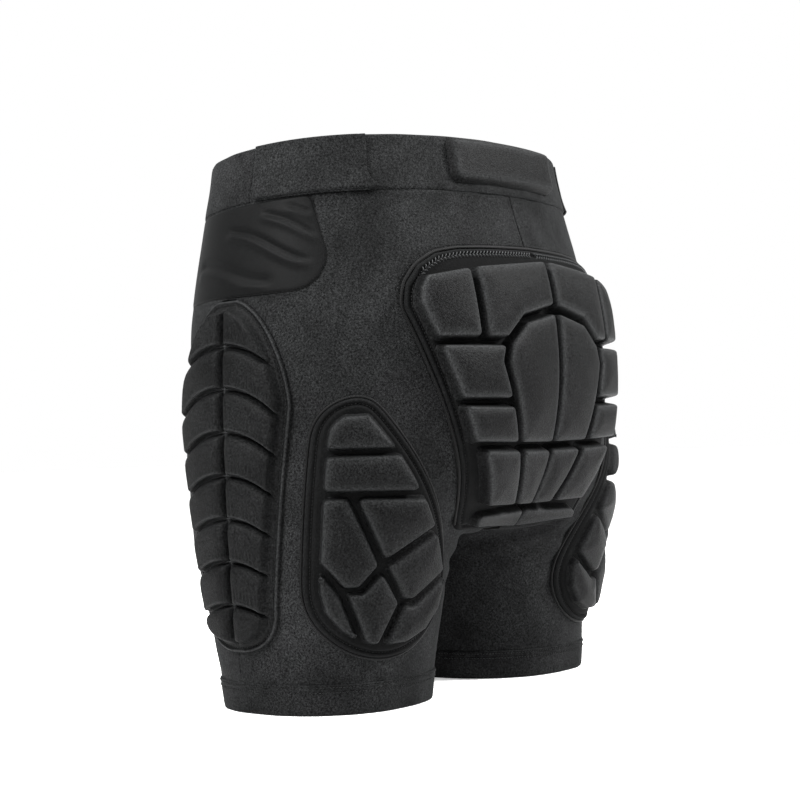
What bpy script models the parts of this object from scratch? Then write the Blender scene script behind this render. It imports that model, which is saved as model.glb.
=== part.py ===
"""Padded impact shorts: compression shorts with foam armour on the seat, hips and rear thighs.

Frame: +X is the wearer's left, -Y the front, +Y the back, +Z up. The hems lie in the plane z = 0 and the
garment is symmetric about x = 0, so every left piece is modelled once and mirrored for the right.
"""
import math

import bmesh
import bpy
import numpy as np
from mathutils import Matrix, Vector

# ---- driving dimensions, metres -----------------------------------------------------------------
ORIGIN_BACK = 0.0142    # the body's own middle lies this far in front of the garment's, where the origin is
BAND_TOP = 0.412        # top edge of the waistband, at the side seam
BAND_SEAM = 0.371       # seam under the waistband
CROTCH = 0.122          # underside of the crotch, which is also the inseam length
FULL_TORSO = 0.215      # height above which both halves share one oval section
HEM_TOP = 0.022         # top of the folded leg hem
LEG_GAP_LOW = 0.033     # half the gap between the legs at the hems
LEG_GAP_HIGH = 0.016    # half the gap just under the crotch, also the radius of the arch there
BAND_RISE = 0.06        # how much the waistband rises towards the back, per metre of depth
SECTION_POWER = 2.25    # superellipse power of every body section

FABRIC = 0.0024         # stretch fabric with its lining
SEAM_GAP = 0.0006       # clearance between sewn pieces
PAD_BASE = 0.0019       # underside of a pad above the fabric
THIGH_BASE = 0.0024     # and of the thigh pad, where the leg curves more
BACKING = 0.0026        # foam sheet under the raised blocks
BLOCK_LIFT = 0.0010     # clearance between the foam sheet and a block
SEAT_BLOCK = 0.0105     # height of a seat block
THIGH_BLOCK = 0.0075    # height of a thigh block
SIDE_BLOCK = 0.0065     # height of a side row
PIPING = 0.0013         # radius of the piping round a pad

HIP_Y = -0.012          # hinge axis of each leg: across the body, at the hip joint
HIP_Z = 0.170
HIP_DISC = 0.0640       # radius of the round joint line that the side pad and leg share
HIP_CLEAR = 0.0014      # clearance along that line
PAD_CLEAR = 0.0050      # and the lower side pad's, whose corners stand out past the fabric
LEG_FRONT_ANGLE = 40.0  # degrees below level at which the leg fabric starts in front
LEG_BACK_ANGLE = 38.0   # degrees above level at which it ends behind

# Section of the left half by height: outer edge, depth to the back, depth to the front, widest point's x and y.
SECTION_Z = (0.000, 0.060, 0.122, 0.180, 0.240, 0.300, 0.360, 0.412, 0.440)
HALF_WIDTH = (0.181, 0.185, 0.188, 0.189, 0.188, 0.183, 0.171, 0.159, 0.156)
BACK_DEPTH = (0.074, 0.083, 0.100, 0.128, 0.139, 0.134, 0.115, 0.106, 0.105)
FRONT_DEPTH = (0.074, 0.085, 0.104, 0.120, 0.126, 0.125, 0.118, 0.112, 0.110)
CENTRE_X = (0.107, 0.104, 0.096, 0.052, 0.012, 0.000, 0.000, 0.000, 0.000)
CENTRE_Y = (0.005, 0.004, 0.003, 0.000, 0.000, 0.000, 0.000, 0.000, 0.000)

# Every pad is a rounded shape split by grooves: its edge is a formula, and its raised blocks are the cells between
# the groove lines, drawn in by half a groove.
BLOCK_GROOVE = 0.005
ARC_STEPS = 4           # pieces of a rounded stretch of outline

# Seat pad seen from behind, left half, as (x, z): a straight flank, then a rounded shoulder.
SEAT_FOOT = (0.076, 0.130)
SEAT_SHOULDER = (0.129, 0.290)
SEAT_CORNER = (0.040, 0.035)     # width and height of the rounded shoulder
SEAT_RIM = 0.0015                # flat border between the edge and the outermost grooves
SEAT_ROWS = (0.147, 0.190, 0.220, 0.262)    # heights of the level grooves
SEAT_COLUMN = 0.080              # upright groove in the top row
SEAT_TOP = 0.320                 # upper edge of the top blocks at the middle
SEAT_FALL = 0.08                 # how fast that edge falls outwards
PETAL_FOOT = 0.045               # half width of the middle petals at their foot
PETAL_HALF = 0.065               # and where they are widest
PETAL_WIDEST = 0.248
PETAL_ARCH = 0.037               # height of the arch over them
FOOT_LINES = ((0.025, 0.043), (0.066, 0.087))   # slanted lines of the foot row: x at its bottom and top
CROTCH_BLOCK = (0.069, 0.1305, 0.0035)          # half width, lower edge, and height lost at its outer end

# Thigh pad in its own plane, as (out, z): a round foot under a leaf that leans outwards to its tip.
THIGH_MIDDLE = (-0.002, 0.090)
THIGH_ROUND = (0.053, 0.048)     # half width and depth of the round foot
THIGH_LOW = 0.043
THIGH_TOP = 0.223
THIGH_LEAN = 0.068               # how far the inner edge moves out on the way up
THIGH_DRAW = 0.009               # how far the outer edge comes in
THIGH_TIP = (0.0225, 0.023)      # width and height of the rounded tip
THIGH_RIM = 0.0055
THIGH_ROWS = (0.1575, 0.187)     # level grooves under and over the upper block
THIGH_HUB = (0.006, 0.108)       # where the middle, inner, outer and centre foot blocks meet
THIGH_FORK = (-0.009, 0.081)     # where the inner, inner foot and centre foot blocks meet
THIGH_SHELF = ((0.020, 0.0905), (0.0315, 0.0905))   # groove over the centre foot
THIGH_SPLIT = 0.026              # where the middle and outer blocks part, along the lower level groove
THIGH_INNER_Z = (0.101, 0.135)   # heights where grooves reach the inner edge
THIGH_OUTER_Z = 0.110            # height where a groove reaches the outer edge
THIGH_STEM = (-80.0, -66.0)      # degrees round the foot at which the centre foot's sides end
THIGH_TURN = math.radians(25.0)  # the thigh pad faces this far out from straight back

# Side pad seen from the side: (half width, z) where its ends begin to round, and how long those ends are.
SIDE_LOW = (0.038, 0.090)
SIDE_HIGH = (0.055, 0.240)
SIDE_ROUND = (0.046, 0.061)
SIDE_SPAN = (0.047, 0.299)
SIDE_Y = -0.012
SIDE_TOP_GROOVE = 0.266
SIDE_PITCH = 0.031
SIDE_RIM = 0.009        # flat border outside the raised rows

# Hip insert seen from the side: lower edge, and the rounded corner (y, z, radius) it turns up at.
INSERT_LOW = 0.302
INSERT_CORNER = (0.043, 0.322, 0.020)
INSERT_END = 0.047      # y where its rear edge passes under the band

HIP_FRONT_ANGLE = 1.0   # degrees below level at which the hip fabric ends in front
SIDE_SEAM_Y = -0.015
SEAT_MARGIN = 0.005     # fabric kept with the hips round the seat pad
SEAT_BOTTOM = 0.1264
SEAT_CUT_BACK = 0.004   # the seat cutters begin this far behind the hip axis
INSERT_FRONT_X = 0.050
CENTRE_GAP = 0.0003
GUSSET_HALF = 0.0105    # half width of the crotch strip
GUSSET_ROOM = 0.0024    # its fabric spreads this far over the crotch arch
GUSSET_FRONT = 0.1660   # height of the crotch strip's front end
GUSSET_BACK = 0.1236
FAR = 0.28              # past every surface of the garment
FLOOR = 0.05

TUBE_SIDES = 28
HEM_LEVELS = (0.0, 0.008, HEM_TOP - SEAM_GAP)
SLEEVE_LEVELS = (HEM_TOP, 0.060, 0.095, 0.108, 0.115, 0.1205, 0.1235, 0.128, 0.137, 0.155, 0.185, 0.220, 0.260)
HIP_LEVELS = (0.1150, 0.1215, 0.1235, 0.128, 0.137, 0.155, 0.185, 0.220, 0.260, 0.300, 0.340, BAND_SEAM - SEAM_GAP)
INSERT_LEVELS = (0.285, 0.315, 0.340, BAND_SEAM - SEAM_GAP)
BAND_LEVELS = (BAND_SEAM, 0.391, BAND_TOP)

TAB_END = 0.079         # how far back (y) the hook-and-loop tab reaches
TAB_START = -0.004      # y of the seam where the front band ends
TAB_GAP = 0.004         # the tab turns on a line this far behind it
PATCH_SPAN = (0.018, 0.070)      # y extent of the loop patch under the tab
PATCH_DEPTH = (0.0006, 0.0013)
TAB_DEPTH = (0.0018, 0.0040)
LUMBAR_HALF = 0.065
LUMBAR_THICK = 0.0080
LUMBAR_LIFT = 0.0008
LUMBAR_HEIGHTS = (0.3765, 0.380, 0.394, 0.406, 0.4095)
PATCH_HEIGHTS = (0.377, 0.406)
TAB_HEIGHTS = (0.3735, 0.4095)
PIPING_OUT = 0.0046     # the seat pad's cord runs this far outside its edge
PIPING_TOP = 0.3315


# ---- the body surface ---------------------------------------------------------------------------
def smooth(z, heights, values):
    """Smooth curve through (heights, values): cubic segments with shared slopes."""
    h = np.asarray(heights)
    v = np.asarray(values)
    step = np.diff(h)
    slope = np.diff(v) / step
    tangent = np.concatenate(([slope[0]], (slope[:-1] * step[1:] + slope[1:] * step[:-1]) / (h[2:] - h[:-2]),
                              [slope[-1]]))
    i = int(np.clip(np.searchsorted(h, z) - 1, 0, len(h) - 2))
    t = min(max((z - h[i]) / step[i], 0.0), 1.0)
    return float((2 * t**3 - 3 * t**2 + 1) * v[i] + (t**3 - 2 * t**2 + t) * step[i] * tangent[i]
                 + (3 * t**2 - 2 * t**3) * v[i + 1] + (t**3 - t**2) * step[i] * tangent[i + 1])


def inner_edge(z):
    """Innermost x of the left half's section: the inner thigh, the crotch arch, then past the middle."""
    arch = CROTCH - LEG_GAP_HIGH
    if z < arch:
        return LEG_GAP_LOW + (LEG_GAP_HIGH - LEG_GAP_LOW) * max(z, 0.0) / arch
    if z < CROTCH:
        return math.sqrt(max(LEG_GAP_HIGH**2 - (z - arch)**2, 0.0))
    s = min((z - CROTCH) / (FULL_TORSO - CROTCH), 1.0)
    return -smooth(z, SECTION_Z, HALF_WIDTH) * math.sqrt(1.0 - (1.0 - s)**2)


def signed_power(value):
    return math.copysign(abs(value)**(2.0 / SECTION_POWER), value)


def skin(z, angle):
    """Point of the left half at height z; angle 0 is the front, 90 degrees the side, 180 the back."""
    width = smooth(z, SECTION_Z, HALF_WIDTH)
    inner = inner_edge(z)
    s, c = math.sin(angle), math.cos(angle)
    depth = smooth(z, SECTION_Z, FRONT_DEPTH if c > 0 else BACK_DEPTH)
    centre = smooth(z, SECTION_Z, CENTRE_X)
    x = centre + (width - centre if s > 0 else centre - inner) * signed_power(s)
    y = smooth(z, SECTION_Z, CENTRE_Y) - depth * signed_power(c)
    rise = BAND_RISE * min(max((z - 0.25) / 0.13, 0.0), 1.0)
    return Vector((x, y, z + rise * y))


def outward(z, angle, step=1e-3):
    """Unit normal of the surface, pointing out of the body."""
    around = skin(z, angle + step) - skin(z, angle - step)
    up = skin(z + step, angle) - skin(z - step, angle)
    return around.cross(up).normalized()


def offset_point(z, angle, height):
    return skin(z, angle) + outward(z, angle) * height


def angle_at(z, direction, distance, low, high):
    """Angle where the section at height z reaches `distance` along the flat `direction`, by bisection."""
    rising = (skin(z, high) - skin(z, low)).dot(direction) > 0
    for _ in range(34):
        middle = (low + high) / 2
        if (skin(z, middle).dot(direction) < distance) == rising:
            low = middle
        else:
            high = middle
    return (low + high) / 2


def seat_point(x, z, height):
    """Point over the seat: x may be negative, on the right half."""
    angle = angle_at(z, Vector((1, 0, 0)), abs(x), math.radians(92), math.radians(268))
    point = offset_point(z, angle, height)
    return Vector((math.copysign(point.x, x) if x else 0.0, point.y, point.z))


def thigh_point(out, z, height):
    direction = Vector((math.cos(THIGH_TURN), -math.sin(THIGH_TURN), 0))
    start = Vector((0.101, 0.003, 0)).dot(direction)
    angle = angle_at(z, direction, start + out, math.radians(90), math.radians(225))
    return offset_point(z, angle, height)


def side_point(y, z, height):
    angle = angle_at(z, Vector((0, 1, 0)), y, math.radians(20), math.radians(160))
    return offset_point(z, angle, height)


# ---- helpers ------------------------------------------------------------------------------------
def collection(name):
    made = bpy.data.collections.new(name)
    bpy.context.scene.collection.children.link(made)
    return made


def material(name, colour, roughness, metallic=0.0):
    made = bpy.data.materials.get(name) or bpy.data.materials.new(name)
    made.use_nodes = True
    shader = made.node_tree.nodes["Principled BSDF"]
    shader.inputs["Base Color"].default_value = (*colour, 1.0)
    shader.inputs["Roughness"].default_value = roughness
    shader.inputs["Metallic"].default_value = metallic
    return made


def add_object(name, vertices, faces, finish, group):
    mesh = bpy.data.meshes.new(name)
    mesh.from_pydata([tuple(v) for v in vertices], [], faces)
    bm = bmesh.new()
    bm.from_mesh(mesh)
    bmesh.ops.recalc_face_normals(bm, faces=bm.faces)
    bm.to_mesh(mesh)
    bm.free()
    mesh.shade_smooth()
    mesh.set_sharp_from_angle(angle=math.radians(40))
    mesh.materials.append(finish)
    made = bpy.data.objects.new(name, mesh)
    group.objects.link(made)
    return made


def slab(rows_low, rows_high):
    """Closed solid between two equal grids of points: vertices and faces."""
    rows, columns = len(rows_low), len(rows_low[0])
    vertices = [p for row in rows_low for p in row] + [p for row in rows_high for p in row]
    layer = rows * columns
    faces = []
    for i in range(rows - 1):
        for j in range(columns - 1):
            a = i * columns + j
            low = (a, a + 1, a + columns + 1, a + columns)
            faces.append(low)
            faces.append(tuple(layer + k for k in reversed(low)))
    rim = [j for j in range(columns)]
    rim += [i * columns + columns - 1 for i in range(1, rows)]
    rim += [(rows - 1) * columns + j for j in range(columns - 2, -1, -1)]
    rim += [i * columns for i in range(rows - 2, 0, -1)]
    for a, b in zip(rim, rim[1:] + rim[:1]):
        faces.append((b, a, layer + a, layer + b))
    return vertices, faces


def resample(outline, spacing):
    """Closed outline of (u, v) with every edge cut into pieces no longer than `spacing`."""
    points = []
    for (ax, ay), (bx, by) in zip(outline, outline[1:] + outline[:1]):
        pieces = max(1, math.ceil(math.hypot(bx - ax, by - ay) / spacing))
        points += [(ax + (bx - ax) * k / pieces, ay + (by - ay) * k / pieces) for k in range(pieces)]
    return points


def block(cell, place, low, high, inset=0.0016, spacing=0.024):
    """Foam block in a cell between grooves: a closed solid with slightly drawn-in top edges."""
    outline = resample(grown(cell, -BLOCK_GROOVE / 2), spacing)
    cu = sum(p[0] for p in outline) / len(outline)
    cv = sum(p[1] for p in outline) / len(outline)
    count = len(outline)

    def ring(scale, shrink, height):
        placed = []
        for u, v in outline:
            reach = math.hypot(u - cu, v - cv)
            k = max(scale - shrink / reach, 0.1)
            placed.append(place(cu + (u - cu) * k, cv + (v - cv) * k, height))
        return placed

    rings = [ring(0.5, 0, low), ring(1.0, 0, low), ring(1.0, inset, high), ring(0.5, 0, high)]
    vertices = [place(cu, cv, low)] + [p for r in rings for p in r] + [place(cu, cv, high)]
    faces = []
    for j in range(count):
        k = (j + 1) % count
        faces.append((0, 1 + k, 1 + j))
        for r in range(len(rings) - 1):
            base = 1 + r * count
            faces.append((base + j, base + k, base + count + k, base + count + j))
        last = 1 + (len(rings) - 1) * count
        faces.append((last + j, last + k, len(vertices) - 1))
    return vertices, faces


def prism(name, outline, axis, start, end, cutters):
    """Cutter: a flat outline swept along X (outline in y, z) or along Y (outline in x, z)."""
    def place(u, v, w):
        return Vector((w, u, v)) if axis == "X" else Vector((u, w, v))
    count = len(outline)
    vertices = [place(u, v, start) for u, v in outline] + [place(u, v, end) for u, v in outline]
    faces = [tuple(range(count)), tuple(range(2 * count - 1, count - 1, -1))]
    faces += [(j, (j + 1) % count, count + (j + 1) % count, count + j) for j in range(count)]
    made = add_object(name, vertices, faces, material("cutter", (0.5, 0.5, 0.5), 0.5), cutters)
    made.hide_render = True
    made.display_type = "WIRE"
    return made


def cut(target, cutter, operation="DIFFERENCE"):
    change = target.modifiers.new(cutter.name, "BOOLEAN")
    change.operation = operation
    change.object = cutter
    return target


# ---- cutters ------------------------------------------------------------------------------------
def grown(outline, amount):
    """Outline moved outwards by `amount` along both neighbouring edges of each corner."""
    area = sum(ax * by - bx * ay for (ax, ay), (bx, by) in zip(outline, outline[1:] + outline[:1]))
    turn = 1.0 if area > 0 else -1.0
    moved = []
    for before, here, after in zip(outline[-1:] + outline[:-1], outline, outline[1:] + outline[:1]):
        first = Vector((here[0] - before[0], here[1] - before[1])).normalized()
        second = Vector((after[0] - here[0], after[1] - here[1])).normalized()
        normal = Vector((first.y + second.y, -first.x - second.x)) * turn
        reach = amount / max(normal.normalized().dot(Vector((first.y, -first.x)) * turn), 0.3)
        step = normal.normalized() * reach
        moved.append((here[0] + step.x, here[1] + step.y))
    return moved


def polar(radius, degrees):
    """Point (y, z) of the side view, measured from the hip axis; 0 is straight back, 90 straight up."""
    return (HIP_Y + radius * math.cos(math.radians(degrees)), HIP_Z + radius * math.sin(math.radians(degrees)))


def joint_outline(radius, front_degrees, drop):
    """Side view of the space under a leg's joint line: round on the hip axis, then out to both sides."""
    start, end = 180 + front_degrees, LEG_BACK_ANGLE
    arc = [polar(radius, start - (start - end) * k / 22) for k in range(23)]
    front, back = polar(FAR, start), polar(FAR, end)
    return [(front[0], front[1] - drop), *arc, (back[0], back[1] - drop), (FAR, -FLOOR), (-FAR, -FLOOR)]


def crease_outline():
    """Side view of the stretch wedge between the front panel and the leg."""
    start, end = 180 + LEG_FRONT_ANGLE - 0.6, 180 + HIP_FRONT_ANGLE + 0.6
    arc = [polar(HIP_DISC + SEAM_GAP, start - (start - end) * k / 8) for k in range(9)]
    return [polar(FAR, start), *arc, polar(FAR, end)]


def arc(centre, size, start, end, steps=ARC_STEPS):
    """Points along an ellipse of half width and half height `size`, between two angles in degrees."""
    angles = [math.radians(start + (end - start) * k / steps) for k in range(steps + 1)]
    return [(centre[0] + size[0] * math.cos(t), centre[1] + size[1] * math.sin(t)) for t in angles]


def round_share(reach):
    """Share of its full width that a rounded end keeps at `reach`, 0 to 1, along it."""
    return math.sqrt(max(1.0 - reach**2, 0.0))


def seat_half(z):
    share = (z - SEAT_FOOT[1]) / (SEAT_SHOULDER[1] - SEAT_FOOT[1])
    if share < 1:
        return SEAT_FOOT[0] + (SEAT_SHOULDER[0] - SEAT_FOOT[0]) * share
    return SEAT_SHOULDER[0] - SEAT_CORNER[0] * (1 - round_share((z - SEAT_SHOULDER[1]) / SEAT_CORNER[1]))


def seat_edge(grow):
    """Left edge of the seat pad from its foot to the end of its shoulder, moved outwards by `grow`."""
    centre = (SEAT_SHOULDER[0] - SEAT_CORNER[0] + grow, SEAT_SHOULDER[1])
    return [(SEAT_FOOT[0] + grow, SEAT_FOOT[1]), *arc(centre, SEAT_CORNER, 0, 90)]


def seat_outline():
    """Back view (x, z) of the fabric that stays with the hips under the seat pad."""
    edge = seat_edge(SEAT_MARGIN)
    return [(0.0, SEAT_BOTTOM), (edge[0][0], SEAT_BOTTOM), *edge, (edge[-1][0], FAR), (0.0, FAR)]


def petal_half(z):
    share = min((z - SEAT_ROWS[1]) / (PETAL_WIDEST - SEAT_ROWS[1]), 1.0)
    rounding = round_share(max(z - PETAL_WIDEST, 0.0) / PETAL_ARCH)
    return (PETAL_FOOT + (PETAL_HALF - PETAL_FOOT) * share) * rounding


def seat_cells():
    """Cells of the seat pad's left half, as (x, z) along the middle of the grooves."""
    bottom, foot, waist, upper = SEAT_ROWS
    arch = (0.0, PETAL_WIDEST)
    arch_size = (PETAL_HALF, PETAL_ARCH)
    spring = math.degrees(math.asin((upper - PETAL_WIDEST) / PETAL_ARCH))
    shoulder = arc((SEAT_SHOULDER[0] - SEAT_CORNER[0] - SEAT_RIM, SEAT_SHOULDER[1]), SEAT_CORNER, 0, 34, 2)
    (inner_low, inner_high), (outer_low, outer_high) = FOOT_LINES
    crotch_half, crotch_low, crotch_drop = CROTCH_BLOCK

    def top(x):
        return SEAT_TOP - SEAT_FALL * x

    def side(z):
        return (seat_half(z) - SEAT_RIM, z)

    def petal(z):
        return (petal_half(z), z)

    return {
        "outer_top": [(SEAT_COLUMN, upper), side(upper), *shoulder, (SEAT_COLUMN, top(SEAT_COLUMN))],
        "inner_top": [*arc(arch, arch_size, 90, spring), (SEAT_COLUMN, upper), (SEAT_COLUMN, top(SEAT_COLUMN)),
                      (0.0, top(0.0))],
        "outer_middle": [petal(waist), side(waist), side(upper), *arc(arch, arch_size, spring, 0, 2)],
        "centre_petal": [(0.0, foot), petal(foot), *arc(arch, arch_size, 0, 90)],
        "outer_lower": [petal(foot), side(foot), side(waist), petal(waist)],
        "outer_foot": [(inner_low, bottom), (outer_low, bottom), (outer_high, foot), (inner_high, foot)],
        "inner_foot": [(0.0, bottom), (inner_low, bottom), (inner_high, foot), (0.0, foot)],
        "crotch_block": [(0.0, crotch_low), (crotch_half, crotch_low), (crotch_half, bottom - 2 * crotch_drop),
                         (crotch_half - crotch_drop * 2, bottom - crotch_drop), (0.0, bottom)],
    }


def thigh_span(z, draw=0.0):
    """Inner and outer edge of the thigh pad at height z, drawn in by `draw`."""
    middle, level = THIGH_MIDDLE
    half, depth = THIGH_ROUND[0] - draw, THIGH_ROUND[1] - draw
    if z < level:
        reach = half * round_share((level - z) / depth)
        return middle - reach, middle + reach
    share = (z - level) / (THIGH_TOP - level)
    width, height = THIGH_TIP
    tip = max(z - (THIGH_TOP - height), 0.0) / (height - draw)
    outer = middle + half - THIGH_DRAW * share**2 - width * (1 - round_share(tip))
    return middle - half + THIGH_LEAN * share**1.5, outer


def thigh_cells():
    """Cells of the thigh pad, as (out, z) along the middle of the grooves, round a hub and a fork."""
    waist, neck = THIGH_ROWS
    fork_z, inner_z = THIGH_INNER_Z
    size = (THIGH_ROUND[0] - THIGH_RIM, THIGH_ROUND[1] - THIGH_RIM)
    shelf_in, shelf_out = THIGH_SHELF
    stem_in, stem_out = THIGH_STEM
    neck_top = (neck + THIGH_TOP) / 2
    tip_top = THIGH_TOP - THIGH_RIM * 1.6

    def inner(z):
        return (thigh_span(z, THIGH_RIM)[0], z)

    def outer(z):
        return (thigh_span(z, THIGH_RIM)[1], z)

    def foot(start, end, steps):
        return arc(THIGH_MIDDLE, size, start, end, steps)

    split = (THIGH_SPLIT, waist)
    outer_end, inner_end, fork_end = outer(THIGH_OUTER_Z), inner(inner_z), inner(fork_z)
    return {
        "tip": [inner(neck), outer(neck), outer(neck_top), outer(tip_top), inner(tip_top)],
        "upper": [inner(waist), outer(waist), outer(neck), inner(neck)],
        "outer": [THIGH_HUB, shelf_in, shelf_out, outer_end, outer(waist), split],
        "middle": [THIGH_HUB, split, inner(waist), inner_end],
        "inner": [THIGH_FORK, THIGH_HUB, inner_end, fork_end, (THIGH_FORK[0] * 2, THIGH_FORK[1] - 0.001)],
        "centre_foot": [*foot(stem_in, stem_out, 1), shelf_out, shelf_in, THIGH_HUB, THIGH_FORK],
        "outer_foot": [*foot(stem_out, 0, 3), outer_end, shelf_out],
        "inner_foot": [*foot(-180, stem_in, 4), THIGH_FORK, (THIGH_FORK[0] * 2, THIGH_FORK[1] - 0.001), fork_end],
    }


def side_half(z):
    """Half width of the side pad at height z."""
    (low, low_z), (high, high_z) = SIDE_LOW, SIDE_HIGH
    if z < low_z:
        return low * round_share((low_z - z) / SIDE_ROUND[0])
    if z > high_z:
        return high * round_share((z - high_z) / SIDE_ROUND[1])
    return low + (high - low) * (z - low_z) / (high_z - low_z)


def insert_outline():
    """Side view (y, z) of the smooth stretch insert on the hip."""
    y, z, radius = INSERT_CORNER
    under_band = BAND_SEAM + 0.01
    return [(-FAR, INSERT_LOW), *arc((y, z), (radius, radius), -90, 20), (INSERT_END, under_band), (-FAR, under_band)]


# ---- pieces -------------------------------------------------------------------------------------
def tube(name, levels, finish, group, inner=FABRIC, outer=0.0, level_rims=False):
    """Fabric tube round the left half over the given heights; above the crotch it runs past x = 0."""
    def ring(z, height):
        points = []
        for j in range(TUBE_SIDES):
            angle = 2 * math.pi * j / TUBE_SIDES
            normal = outward(z, angle)
            if level_rims:
                normal = Vector((normal.x, normal.y, 0)).normalized()
            points.append(skin(z, angle) + normal * height)
        return points
    vertices = [p for height in (outer, -inner) for z in levels for p in ring(z, height)]
    layer = len(levels) * TUBE_SIDES
    faces = []
    for j in range(TUBE_SIDES):
        k = (j + 1) % TUBE_SIDES
        for i in range(len(levels) - 1):
            a, b = i * TUBE_SIDES + j, i * TUBE_SIDES + k
            quad = (a, b, b + TUBE_SIDES, a + TUBE_SIDES)
            faces.append(quad)
            faces.append(tuple(layer + v for v in reversed(quad)))
        for i in (0, len(levels) - 1):
            a, b = i * TUBE_SIDES + j, i * TUBE_SIDES + k
            faces.append((a, b, layer + b, layer + a))
    return add_object(name, vertices, faces, finish, group)


def gusset_rows(height):
    """Rows of points across the crotch strip, from its front end under the crotch to its back end."""
    halves = [GUSSET_HALF * k / 2 for k in (-2, -1, 0, 1, 2)]
    rows = []
    for top, low, high, steps in ((GUSSET_FRONT, 272, 360, range(7, -1, -1)), (GUSSET_BACK, 182, 268, range(1, 4))):
        last = 7 if top == GUSSET_FRONT else 3
        for step in steps:
            row = []
            for x in halves:
                lowest = CROTCH - LEG_GAP_HIGH + math.sqrt(LEG_GAP_HIGH**2 - x * x)
                z = lowest + (top - lowest) * (step / last)**2
                angle = math.radians(270)
                if step:
                    angle = angle_at(z, Vector((1, 0, 0)), abs(x), math.radians(low), math.radians(high))
                normal = outward(z, angle)
                if x == 0:
                    normal = Vector((0, normal.y, normal.z)).normalized()
                point = skin(z, angle) + normal * height
                row.append(Vector((math.copysign(max(point.x, 0.0), x) if x else 0.0, point.y, point.z)))
            rows.append(row)
    return rows


def add_slab(name, low_rows, high_rows, finish, group):
    vertices, faces = slab(low_rows, high_rows)
    return add_object(name, vertices, faces, finish, group)


def sheet_rows(place, heights, lows, highs, columns, height):
    return [[place(low + (high - low) * j / (columns - 1), z, height) for j in range(columns)]
            for z, low, high in zip(heights, lows, highs)]


def row_heights(low, high, count):
    """Evenly spaced rows over a pad, both ends kept."""
    return [low + (high - low) * k / (count - 1) for k in range(count)]


def fabric_pieces(finish, stretch, group, cutters):
    """Panels, inserts, creases, sleeves and hems of the left half."""
    leg_space = prism("leg_space", joint_outline(HIP_DISC - HIP_CLEAR, LEG_FRONT_ANGLE, HIP_CLEAR), "X",
                      GUSSET_HALF + GUSSET_ROOM, FAR, cutters)
    hip_space = prism("hip_space", joint_outline(HIP_DISC, HIP_FRONT_ANGLE, 0.0), "X", -0.01, FAR, cutters)
    seat_space = prism("seat_space", grown(seat_outline(), SEAM_GAP * 2), "Y", HIP_Y + SEAT_CUT_BACK, FAR, cutters)
    seat_keep = prism("seat_keep", seat_outline(), "Y", HIP_Y + SEAT_CUT_BACK, FAR, cutters)
    cut(hip_space, seat_keep)
    crease_space = prism("crease_space", crease_outline(), "X", GUSSET_HALF + GUSSET_ROOM, FAR, cutters)
    insert_space = prism("insert_space", insert_outline(), "X", INSERT_FRONT_X, FAR, cutters)
    insert_room = prism("insert_room", grown(insert_outline(), SEAM_GAP), "X", INSERT_FRONT_X - SEAM_GAP, FAR,
                        cutters)
    seam = SIDE_SEAM_Y
    front_space = prism("front_space", [(-FAR, -FLOOR), (seam - SEAM_GAP, -FLOOR), (seam - SEAM_GAP, FAR * 2),
                                        (-FAR, FAR * 2)], "X", CENTRE_GAP, FAR, cutters)
    back_space = prism("back_space", [(seam, -FLOOR), (FAR, -FLOOR), (FAR, FAR * 2), (seam, FAR * 2)], "X",
                       CENTRE_GAP, FAR, cutters)
    sleeve = tube("left_leg_sleeve", SLEEVE_LEVELS, finish, group)
    cut(sleeve, leg_space, "INTERSECT")
    cut(sleeve, seat_space)
    front = tube("left_front_panel", HIP_LEVELS, finish, group)
    cut(front, front_space, "INTERSECT")
    cut(front, hip_space)
    cut(front, insert_room)
    back = tube("left_seat_panel", HIP_LEVELS, finish, group)
    cut(back, back_space, "INTERSECT")
    cut(back, hip_space)
    cut(back, insert_room)
    insert = tube("left_hip_insert", INSERT_LEVELS, stretch, group)
    cut(insert, insert_space, "INTERSECT")
    crease = tube("left_hip_crease", SLEEVE_LEVELS, stretch, group)
    cut(crease, crease_space, "INTERSECT")
    hem = tube("left_leg_hem", HEM_LEVELS, finish, group, inner=0.0032, outer=0.0006, level_rims=True)
    return [sleeve, front, back, insert, crease, hem]


def waistband(finish, group, cutters):
    """Two-part band; the front part laps over the back part at both sides."""
    split = TAB_START
    front_cut = prism("band_front", [(-FAR, 0.3), (split - SEAM_GAP, 0.3), (split - SEAM_GAP, 0.5), (-FAR, 0.5)],
                      "X", -FAR, FAR, cutters)
    back_cut = prism("band_back", [(split, 0.3), (FAR, 0.3), (FAR, 0.5), (split, 0.5)], "X", -FAR, FAR, cutters)
    front = tube("front_waistband", BAND_LEVELS, finish, group, inner=0.0028, level_rims=True)
    cut(front, front_cut, "INTERSECT")
    rear = tube("rear_waistband", BAND_LEVELS, finish, group, inner=0.0028, level_rims=True)
    cut(rear, back_cut, "INTERSECT")


def band_strip(name, y_start, y_end, low, high, z_low, z_high, finish, group):
    """Flat strip lying on the left side of the waistband."""
    def rows(height):
        return [[side_point(y_start + (y_end - y_start) * j / 7, z, height) for j in range(8)]
                for z in (z_low, (z_low + z_high) / 2, z_high)]
    return add_slab(name, rows(low), rows(high), finish, group)


def seat_pad(foam, base, group):
    heights = row_heights(SEAT_FOOT[1], SEAT_SHOULDER[1] + SEAT_CORNER[1], 14)
    highs = [seat_half(z) for z in heights]
    lows = [-x for x in highs]
    top = PAD_BASE + BACKING
    add_slab("seat_pad_backing", sheet_rows(seat_point, heights, lows, highs, 15, PAD_BASE),
             sheet_rows(seat_point, heights, lows, highs, 15, top), base, group)
    made = []
    for name, outline in seat_cells().items():
        vertices, faces = block(outline, seat_point, top + BLOCK_LIFT, top + BLOCK_LIFT + SEAT_BLOCK)
        made.append(add_object("left_seat_" + name, vertices, faces, foam, group))
    return made


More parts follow.
